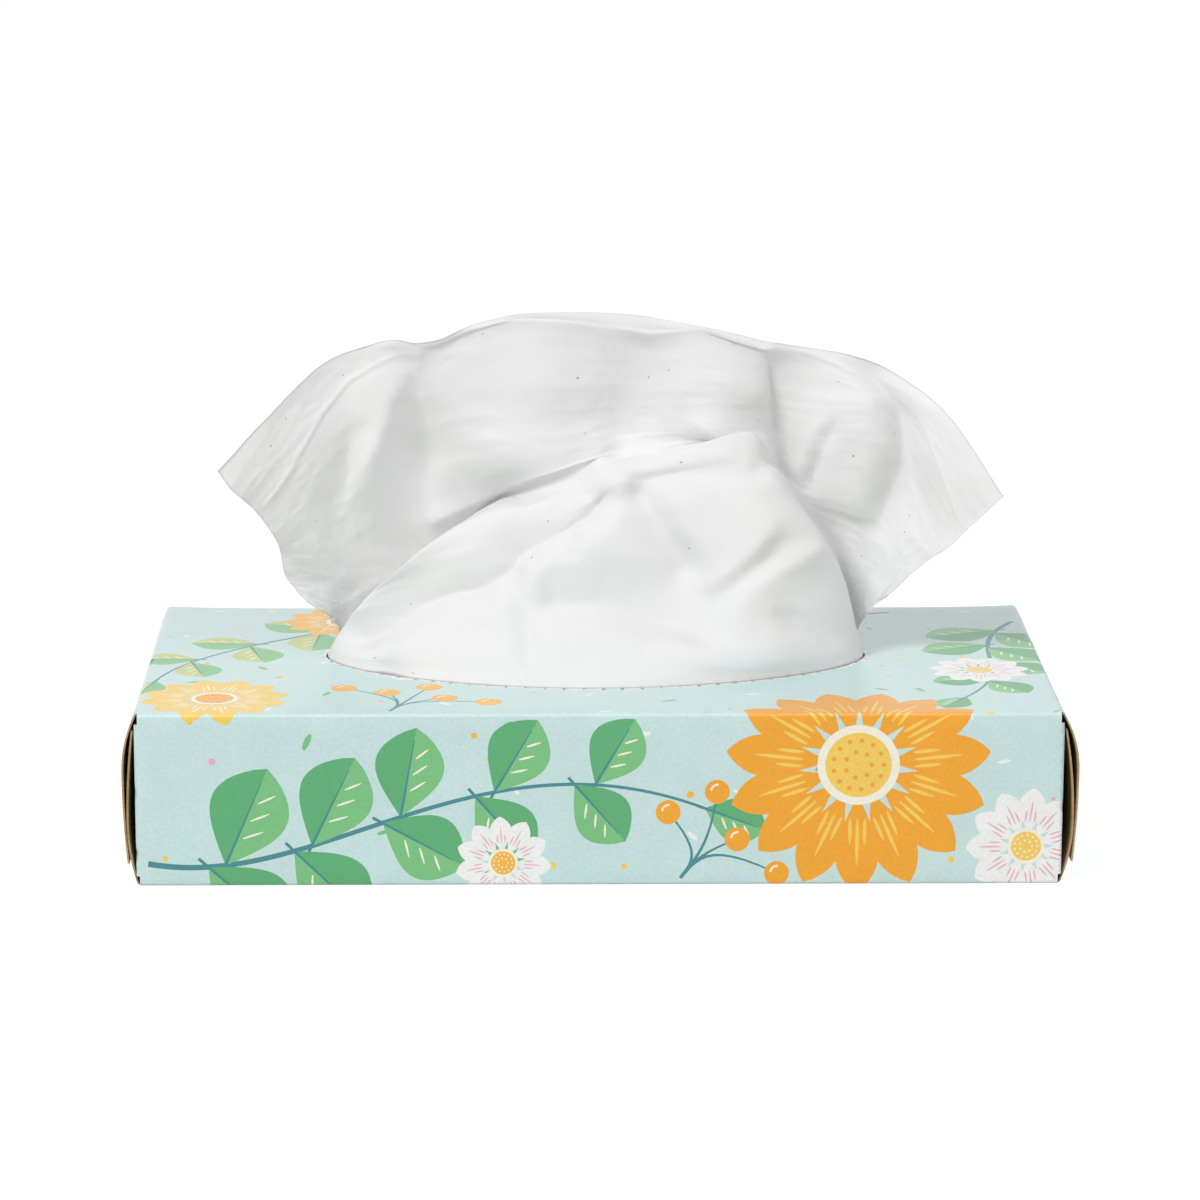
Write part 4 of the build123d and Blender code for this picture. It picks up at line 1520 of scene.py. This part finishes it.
# The sheet's net, as in the CAD model: rows go down from the fan's free edge to just above the
# opening, and each point is (along, back, up), as shares of the fan's half width, depth and height.
FAN_ROWS = (
    ((-0.96, -0.35, 0.58), (-0.82, -0.23, 0.74), (-0.70, -0.10, 0.86), (-0.57, 0.03, 0.92),
     (-0.49, 0.10, 0.92), (-0.40, 0.12, 0.94), (-0.30, 0.12, 0.97), (-0.15, 0.14, 0.99),
     (0.07, 0.17, 0.99), (0.26, 0.12, 0.96), (0.38, 0.10, 0.94), (0.45, 0.12, 0.92),
     (0.53, 0.10, 0.90), (0.65, 0.03, 0.88), (0.76, 0.03, 0.83), (0.89, -0.20, 0.73),
     (1.03, -0.40, 0.51)),
    ((-0.93, -0.34, 0.53), (-0.80, -0.20, 0.71), (-0.68, -0.07, 0.83), (-0.56, 0.03, 0.89),
     (-0.48, 0.10, 0.89), (-0.40, 0.12, 0.91), (-0.30, 0.11, 0.94), (-0.15, 0.12, 0.96),
     (0.07, 0.16, 0.95), (0.26, 0.11, 0.93), (0.37, 0.10, 0.91), (0.44, 0.12, 0.89),
     (0.52, 0.10, 0.88), (0.63, 0.03, 0.85), (0.74, 0.03, 0.80), (0.87, -0.20, 0.71),
     (1.00, -0.40, 0.48)),
    ((-0.87, -0.22, 0.453), (-0.75, -0.15, 0.59), (-0.64, -0.05, 0.70), (-0.54, -0.03, 0.76),
     (-0.46, 0.10, 0.75), (-0.38, 0.05, 0.76), (-0.29, 0.00, 0.78), (-0.13, -0.03, 0.79),
     (0.09, 0.10, 0.79), (0.28, -0.03, 0.80), (0.39, 0.03, 0.79), (0.44, 0.12, 0.77),
     (0.55, 0.05, 0.75), (0.69, -0.05, 0.75), (0.78, 0.05, 0.71), (0.85, -0.20, 0.60),
     (0.95, -0.35, 0.42)),
    ((-0.82, -0.12, 0.36), (-0.72, -0.05, 0.44), (-0.65, 0.05, 0.49), (-0.57, -0.03, 0.55),
     (-0.45, 0.20, 0.50), (-0.37, 0.07, 0.57), (-0.27, -0.05, 0.60), (-0.13, -0.07, 0.62),
     (0.09, 0.05, 0.66), (0.29, -0.10, 0.68), (0.41, 0.03, 0.66), (0.46, 0.15, 0.64),
     (0.55, 0.05, 0.60), (0.69, -0.05, 0.62), (0.79, 0.07, 0.57), (0.84, -0.12, 0.45),
     (0.89, -0.30, 0.35)),
    ((-0.81, -0.04, 0.31), (-0.72, 0.03, 0.30), (-0.65, 0.12, 0.31), (-0.55, 0.20, 0.31),
     (-0.43, 0.28, 0.29), (-0.33, 0.25, 0.38), (-0.25, 0.20, 0.45), (-0.13, -0.03, 0.53),
     (0.06, -0.01, 0.58), (0.29, -0.10, 0.63), (0.42, -0.05, 0.62), (0.48, 0.15, 0.55),
     (0.54, 0.14, 0.47), (0.66, 0.04, 0.46), (0.75, 0.12, 0.43), (0.79, -0.07, 0.34),
     (0.84, -0.20, 0.30)),
    ((-0.80, 0.01, 0.243), (-0.73, 0.10, 0.22), (-0.66, 0.17, 0.20), (-0.59, 0.23, 0.19),
     (-0.52, 0.20, 0.18), (-0.50, -0.12, 0.285), (-0.34, -0.12, 0.41), (-0.13, -0.20, 0.48),
     (0.05, -0.23, 0.56), (0.27, -0.25, 0.58), (0.42, -0.23, 0.58), (0.49, -0.10, 0.52),
     (0.56, 0.20, 0.40), (0.65, 0.17, 0.36), (0.71, 0.12, 0.32), (0.76, 0.00, 0.26),
     (0.78, -0.10, 0.23)),
    ((-0.77, 0.05, 0.195), (-0.72, 0.12, 0.17), (-0.67, 0.20, 0.14), (-0.63, 0.23, 0.13),
     (-0.59, 0.20, 0.12), (-0.60, -0.10, 0.185), (-0.43, -0.20, 0.26), (-0.22, -0.33, 0.33),
     (0.01, -0.35, 0.45), (0.26, -0.35, 0.41), (0.44, -0.33, 0.43), (0.56, -0.15, 0.40),
     (0.61, 0.23, 0.29), (0.66, 0.20, 0.25), (0.70, 0.15, 0.23), (0.73, 0.05, 0.19),
     (0.75, 0.00, 0.18)),
    ((-0.73, 0.07, 0.15), (-0.70, 0.15, 0.13), (-0.67, 0.20, 0.10), (-0.64, 0.23, 0.08),
     (-0.63, 0.17, 0.08), (-0.65, -0.07, 0.12), (-0.50, -0.25, 0.16), (-0.27, -0.45, 0.15),
     (-0.02, -0.50, 0.22), (0.26, -0.38, 0.24), (0.43, -0.40, 0.26), (0.62, -0.12, 0.26),
     (0.65, 0.23, 0.17), (0.67, 0.20, 0.16), (0.69, 0.15, 0.15), (0.71, 0.10, 0.15),
     (0.72, 0.07, 0.15)),
    ((-0.70, 0.12, 0.12), (-0.68, 0.17, 0.10), (-0.67, 0.20, 0.07), (-0.65, 0.20, 0.06),
     (-0.64, 0.15, 0.05), (-0.68, 0.00, 0.04), (-0.56, -0.33, 0.06), (-0.30, -0.60, 0.05),
     (-0.03, -0.70, 0.06), (0.27, -0.65, 0.08), (0.48, -0.53, 0.09), (0.66, -0.07, 0.09),
     (0.67, 0.20, 0.08), (0.68, 0.20, 0.09), (0.69, 0.15, 0.10), (0.70, 0.12, 0.11),
     (0.70, 0.10, 0.12)),
)

# Where the seventeen columns pass the opening's edge, as shares of a turn round the oval, and
# across the flat sheet, as shares of its half width
OPENING_TURNS = (
    0.44, 0.45, 0.46, 0.47, 0.48, 0.503, 0.55, 0.63, 0.73,
    0.82, 0.90, 0.985, 1.015, 1.025, 1.035, 1.045, 1.055,
)
SHEET_COLUMNS = (
    -1.0, -0.83, -0.67, -0.54, -0.46, -0.38, -0.29, -0.16, 0.02,
    0.18, 0.29, 0.36, 0.43, 0.53, 0.63, 0.79, 1.0,
)

# Rows on the pile: how far each has spread to the flat sheet, and its share of the bend's height
PILE_ROWS = ((0.08, 1.0), (0.35, 0.0), (0.7, 0.0), (1.0, 0.0))


@dataclass
class StandingSheet:
    """The tissue drawn half out of the box: a fan with a bulging front fold.

    The sheet is a smooth surface through its net, with creases and fine wrinkles laid over it,
    and a second skin behind the first. A crumple is its height and its cells down and across. The
    gap is where the sheet has come away from the opening's edge, between the net's rows given.
    """

    carton: Carton
    studio: "Studio"
    fan_half_width: float = 100.0
    fan_height: float = 90.0
    fan_depth: float = 40.0
    clearance: float = 0.6
    gap_place: float = -53.0
    gap_half: float = 3.6
    gap_width: float = 1.9
    gap_rows: tuple[Flat, Flat] = ((6.8, 9.0), (10.2, 10.9))
    pile_top: float = 38.55
    pile_gap: float = 0.45
    bend_height: float = 1.0
    half_width: float = 111.05
    back_y: float = 47.05
    thickness: float = 0.22
    columns: int = 231
    standing_rows: int = 196
    lying_rows: int = 18
    flat_width: float = 222.0
    flat_length: float = 190.0
    crumples: tuple[tuple[float, Cells], ...] = ((0.5, (9, 11)), (0.32, (17, 20)), (0.16, (36, 40)))
    fuzz: tuple[float, Cells] = (0.05, (80, 90))
    smooth_rows: Flat = (7.6, 8.6)
    seed: int = 3

    def net(self) -> np.ndarray:
        """The net's points, row by row, from the free edge to the edge on the pile.

        Returns:
            An array of rows, columns and three coordinates.
        """
        fan = np.array(FAN_ROWS) * (self.fan_half_width, self.fan_depth, self.fan_height)
        fan[..., 2] += self.carton.height
        x, y = self.on_oval(np.array(OPENING_TURNS))
        flat_x = np.array(SHEET_COLUMNS) * self.half_width
        top, under = self.carton.height, self.carton.height - 2 * self.carton.board
        rows = [(x, y, top), (x, y, under)]
        for spread, lift in PILE_ROWS:
            level = self.pile_top + self.pile_gap + lift * self.bend_height
            rows.append((x + (flat_x - x) * spread, y + (self.back_y - y) * spread, level))
        below = [np.stack([along, back, np.full_like(x, level)], 1) for along, back, level in rows]
        return np.concatenate([fan, below])

    def on_oval(self, turns: np.ndarray) -> tuple[np.ndarray, np.ndarray]:
        """Where the sheet passes just inside the opening's edge, at shares of a turn round it."""
        return self.carton.oval_at(2 * math.pi * turns, self.clearance)

    @staticmethod
    def through(points: np.ndarray, places: np.ndarray, wanted: np.ndarray) -> np.ndarray:
        """Smooth curves through points: cubics whose slope at a point is that of its neighbours.

        Args:
            points: The points along the first axis.
            places: The place of each point.
            wanted: The places to work out.

        Returns:
            The curves' points at the wanted places.
        """
        last = len(places) - 1
        before = np.maximum(np.arange(last + 1) - 1, 0)
        after = np.minimum(np.arange(last + 1) + 1, last)
        slopes = (points[after] - points[before]) / (places[after] - places[before])[:, None, None]
        cell = np.clip(np.searchsorted(places, wanted, side="right") - 1, 0, last - 1)
        gap = (places[cell + 1] - places[cell])[:, None, None]
        t = (wanted - places[cell])[:, None, None] / gap
        blend = t * t * (3 - 2 * t)
        near = points[cell] * (1 - blend) + slopes[cell] * gap * t * (1 - t) ** 2
        far = points[cell + 1] * blend - slopes[cell + 1] * gap * t**2 * (1 - t)
        return near + far

    @staticmethod
    def facings(surface: np.ndarray) -> np.ndarray:
        """Unit directions across the surface at every point."""
        facing = np.cross(np.gradient(surface, axis=1), np.gradient(surface, axis=0))
        return facing / np.linalg.norm(facing, axis=2, keepdims=True).clip(1e-9)

    def surface(self) -> np.ndarray:
        """The sheet's middle surface, with its creases.

        Returns:
            The surface's points, as rows and columns.
        """
        net = self.net()
        gaps = np.linalg.norm(np.diff(net, axis=0), axis=2).mean(1)
        places = np.concatenate([[0.0], np.cumsum(gaps)])
        shares = np.linspace(-1, 1, self.columns)
        across = self.through(net.swapaxes(0, 1), np.array(SHEET_COLUMNS), shares)
        in_opening = slice(len(FAN_ROWS), len(FAN_ROWS) + 2)
        edge = self.on_oval(np.interp(shares, SHEET_COLUMNS, OPENING_TURNS))
        across[:, in_opening, :2] = np.stack(edge, 1)[:, None]
        opening = places[len(FAN_ROWS)]
        standing = np.linspace(0, opening, self.standing_rows)
        lying = np.linspace(opening, places[-1], self.lying_rows + 1)[1:]
        wanted = np.concatenate([standing, lying])
        surface = self.through(across.swapaxes(0, 1), places, wanted)
        return self.creased(surface, np.interp(wanted, places, np.arange(len(places))))

    def creased(self, surface: np.ndarray, net_row: np.ndarray) -> np.ndarray:
        """Lay the creases, crumples and fine puckers over the smooth surface.

        Args:
            surface: The smooth surface.
            net_row: The net's row for each of its rows.

        Returns:
            The surface with them.
        """
        rng = np.random.default_rng(self.seed)
        shape = surface.shape[:2]
        row = np.broadcast_to(net_row[:, None], shape)
        seen, scale = self.studio.seen_at(surface)
        lift = sum((crease.lift(seen, scale, row) for crease in CREASES), np.zeros(shape))
        for height, cells in self.crumples:
            lift -= height * np.abs(soft_noise(rng, shape, cells))
        lift += self.fuzz[0] * soft_noise(rng, shape, self.fuzz[1])
        lift *= 1 - smooth_step(*self.smooth_rows, row)
        creased = surface - self.facings(surface) * lift[..., None]
        opens, closes = self.gap_rows
        near_edge = smooth_step(*opens, row) * (1 - smooth_step(*closes, row))
        front = surface[..., 1] < self.carton.opening_offset
        parted = np.exp(-(((surface[..., 0] - self.gap_place) / self.gap_half) ** 2))
        creased[..., 1] += parted * near_edge * front * self.gap_width
        return creased

    def build(self) -> bpy.types.Object:
        """Make the standing sheet, closed round its rim, with a flat pattern on both skins.

        Returns:
            The sheet's object.
        """
        surface = self.surface()
        facing = self.facings(surface)
        front = surface + facing * self.thickness / 2
        back = surface - facing * self.thickness / 2
        rows, columns = surface.shape[:2]
        count = rows * columns
        ids = np.arange(count).reshape(rows, columns)
        cells = quads(ids)
        edge = np.concatenate([ids[0, :], ids[1:, -1], ids[-1, -2::-1], ids[-2:0:-1, 0]])
        ahead = np.roll(edge, -1)
        walls = np.stack([edge, edge + count, ahead + count, ahead], 1)
        faces = np.concatenate([cells, cells[:, ::-1] + count, walls])
        points = np.concatenate([front.reshape(-1, 3), back.reshape(-1, 3)])
        mesh = new_mesh("standing_tissue", points, self.outward(points, faces))
        down = np.linalg.norm(np.diff(surface, axis=0), axis=2).mean(1)
        drawn = np.concatenate([[0.0], np.cumsum(down)])
        drawn = drawn / drawn[-1] * self.flat_length
        flat = lattice(drawn, np.linspace(0, self.flat_width, columns))[:, ::-1]
        corners = np.empty(len(mesh.loops), np.int32)
        mesh.loops.foreach_get("vertex_index", corners)
        unrolled = (np.tile(flat, (2, 1)) * MILLIMETRE)[corners].astype(np.float32)
        mesh.uv_layers.new(name="flat_sheet").data.foreach_set("uv", unrolled.ravel())
        mesh.materials.append(TissuePaper().material())
        sheet = place_piece("standing_tissue", mesh)
        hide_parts("popup_tissue")
        return sheet

    @staticmethod
    def outward(points: np.ndarray, faces: np.ndarray) -> np.ndarray:
        """Turn all faces over where the closed shape's volume comes out negative.

        Args:
            points: The shape's points.
            faces: Its faces of four corners.

        Returns:
            The faces, pointing outwards.
        """
        a, b, c, d = (points[faces[:, place]] for place in range(4))
        volume = np.einsum("ij,ij->i", a, np.cross(b, c) + np.cross(c, d)).sum()
        return faces if volume > 0 else faces[:, ::-1]


@dataclass
class TissuePile:
    """The pile of interfolded tissues inside the carton.

    Its section is a rounded rectangle drawn along the box, with soft folded edges that stray a
    little from the section, layer by layer.
    """

    length: float = 222.1
    depth: float = 105.1
    floor: float = 1.25
    height: float = 37.3
    edge_radius: float = 6.0
    edge_play: float = 0.12
    play_cells: tuple[int, int] = (120, 6)
    around: int = 420
    along: int = 60
    sharp_angle: float = 40.0
    seed: int = 21

    def build(self) -> bpy.types.Object:
        """Make the pile.

        A point of the section moves in by the layer's random play times the sine of its heading,
        so that only the sides stray.

        Returns:
            The pile's object.
        """
        quarter = (self.edge_radius * math.pi / 2, math.pi / 2)
        wide, tall = self.depth - 2 * self.edge_radius, self.height - 2 * self.edge_radius
        runs = ((wide, 0.0), quarter, (tall, 0.0), quarter) * 2
        path = ArcPath((-wide / 2, self.floor), 0.0, runs)
        grid = (self.around, self.along)
        section, heading = path.at(np.linspace(0, path.length(), self.around, endpoint=False))
        out = np.stack([np.sin(heading), -np.cos(heading)], 1)
        rng = np.random.default_rng(self.seed)
        x = np.linspace(-self.length / 2, self.length / 2, self.along)
        play = soft_noise(rng, grid, self.play_cells) - 1
        play *= self.edge_play * np.abs(np.sin(heading))[:, None]
        ring = section[:, None] + out[:, None] * play[..., None]
        skin = np.concatenate([np.broadcast_to(x[None, :, None], (*grid, 1)), ring], -1)
        ids = np.arange(self.around * self.along).reshape(grid)
        faces = quads(np.concatenate([ids, ids[:1]])).tolist()
        faces += [ids[::-1, 0].tolist(), ids[:, -1].tolist()]
        mesh = bpy.data.meshes.new("interfolded_pile")
        mesh.from_pydata((skin.reshape(-1, 3) * MILLIMETRE).tolist(), [], faces)
        mesh.validate()
        mesh.shade_smooth()
        mesh.set_sharp_from_angle(angle=math.radians(self.sharp_angle))
        mesh.materials.append(PiledTissue().material())
        pile = place_piece("interfolded_pile", mesh)
        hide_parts("tissue_stack")
        return pile


def hung(data: bpy.types.ID, axes: tuple[np.ndarray, ...], place: Place) -> bpy.types.Object:
    """Put a lamp or the camera into the scene.

    Args:
        data: Its light or camera data.
        axes: The directions of its own right, up and backward.
        place: Where it hangs, in metres.

    Returns:
        Its object.
    """
    item = bpy.data.objects.new(data.name, data)
    bpy.context.scene.collection.objects.link(item)
    basis = np.eye(4)
    basis[:3] = np.stack([*axes, place], 1)
    item.matrix_world = Matrix(basis.tolist())
    return item


@dataclass(frozen=True)
class Lamp:
    """A soft square lamp that faces the box: its place and side in metres, its power in watts."""

    name: str
    place: Place
    side: float
    power: float
    aim: Place = (0.0, 0.0, 0.06)

    def build(self) -> None:
        """Hang the lamp, its back away from the box and one side level."""
        data = bpy.data.lights.new(self.name, "AREA")
        data.size, data.energy = self.side, self.power
        away = np.array(self.place) - self.aim
        away /= np.linalg.norm(away)
        level = np.cross((0.0, 0.0, 1.0), away)
        level /= np.linalg.norm(level)
        hung(data, (level, np.cross(away, level), away), self.place)


@dataclass
class Studio:
    """Pale floor, soft lamps and the camera, set as for the photograph, with sizes in metres."""

    camera_place: Place = (-0.0213, -1.1503, 0.3282)
    pitch: float = 13.15
    yaw: float = 1.11
    roll: float = 0.16
    lens: float = 137.37
    film_width: float = 36.0
    frame_pixels: float = 1200.0
    floor_half: float = 6.0
    dome_light: float = 0.455
    lamps: tuple[Lamp, ...] = (
        Lamp("key_lamp", (-1.15, -1.3, 1.6), 0.7, 32.5),
        Lamp("fill_lamp", (1.6, -1.3, 0.9), 1.2, 10.5),
    )

    def sight(self) -> tuple[np.ndarray, np.ndarray, np.ndarray]:
        """The camera's right, up and forward directions.

        Pitch looks down, yaw turns to the right and roll turns clockwise.

        Returns:
            The three directions.
        """
        p, w, r = (math.radians(angle) for angle in (self.pitch, self.yaw, self.roll))
        forward = np.array([math.sin(w) * math.cos(p), math.cos(w) * math.cos(p), -math.sin(p)])
        right = np.array([math.cos(w), -math.sin(w), 0.0])
        up = np.cross(right, forward)
        cos, sin = math.cos(r), math.sin(r)
        return cos * right + sin * up, -sin * right + cos * up, forward

    def seen_at(self, points: np.ndarray) -> tuple[np.ndarray, float]:
        """Where points in millimetres are seen in the photograph's frame.

        A place is the frame's middle plus the point's offset over its distance, times the focal
        length in pixels.

        Args:
            points: The points, three numbers each.

        Returns:
            Their places in pixels, and the mean number of pixels for a millimetre.
        """
        right, up, forward = self.sight()
        focal = self.lens / self.film_width * self.frame_pixels
        offset = points * MILLIMETRE - self.camera_place
        away = offset @ forward
        seen = np.stack([offset @ right, -(offset @ up)], -1) / away[..., None] * focal
        return seen + self.frame_pixels / 2, focal * MILLIMETRE / float(away.mean())

    def camera(self) -> None:
        """Set the camera where the photograph was taken from."""
        right, up, forward = self.sight()
        data = bpy.data.cameras.new("photo_camera")
        data.lens, data.sensor_width = self.lens, self.film_width
        bpy.context.scene.camera = hung(data, (right, up, -forward), self.camera_place)

    def world(self) -> None:
        """Light the set evenly from all round, and show white behind it."""
        world = bpy.data.worlds.new("studio")
        bpy.context.scene.world = world
        tree = fresh_tree(world)
        dome, white = (
            add_node(
                tree, "ShaderNodeBackground", {"Color": linear("#FFFFFF"), "Strength": strength}
            )
            for strength in (self.dome_light, 1.0)
        )
        add_node(tree, "ShaderNodeOutputWorld", {"Surface": split_by_ray(tree, dome, white)})

    def floor(self) -> None:
        """Make the floor, level with the bottom of the box."""
        half = self.floor_half
        corners = [(-half, -half, 0.0), (half, -half, 0.0), (half, half, 0.0), (-half, half, 0.0)]
        mesh = bpy.data.meshes.new("studio_floor")
        mesh.from_pydata(corners, [], [(0, 1, 2, 3)])
        mesh.materials.append(StudioPaper().material())
        floor = bpy.data.objects.new("studio_floor", mesh)
        bpy.context.scene.collection.objects.link(floor)

    def build(self) -> None:
        """Set up the camera, the lamps, the world and the floor."""
        bpy.context.scene.view_settings.view_transform = "Standard"
        self.camera()
        for lamp in self.lamps:
            lamp.build()
        self.world()
        self.floor()


def dress_glue() -> None:
    """Give the CAD model's glue lines the finish of set glue."""
    finish = SetGlue().material()
    for name in ("side_seam_glue", "left_end_glue", "right_end_glue"):
        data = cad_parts[name].data
        data.materials.clear()
        data.materials.append(finish)


def main() -> None:
    """Build the pieces in order and report each."""
    logging.basicConfig(level=logging.INFO, format="%(message)s")
    studio = Studio()
    studio.build()
    carton = Carton()
    for piece in (carton, TissuePile(), StandingSheet(carton, studio)):
        made = piece.build()
        log.info("%s: %d faces", made.name, len(made.data.polygons))
    dress_glue()


if __name__ == "__main__":
    main()
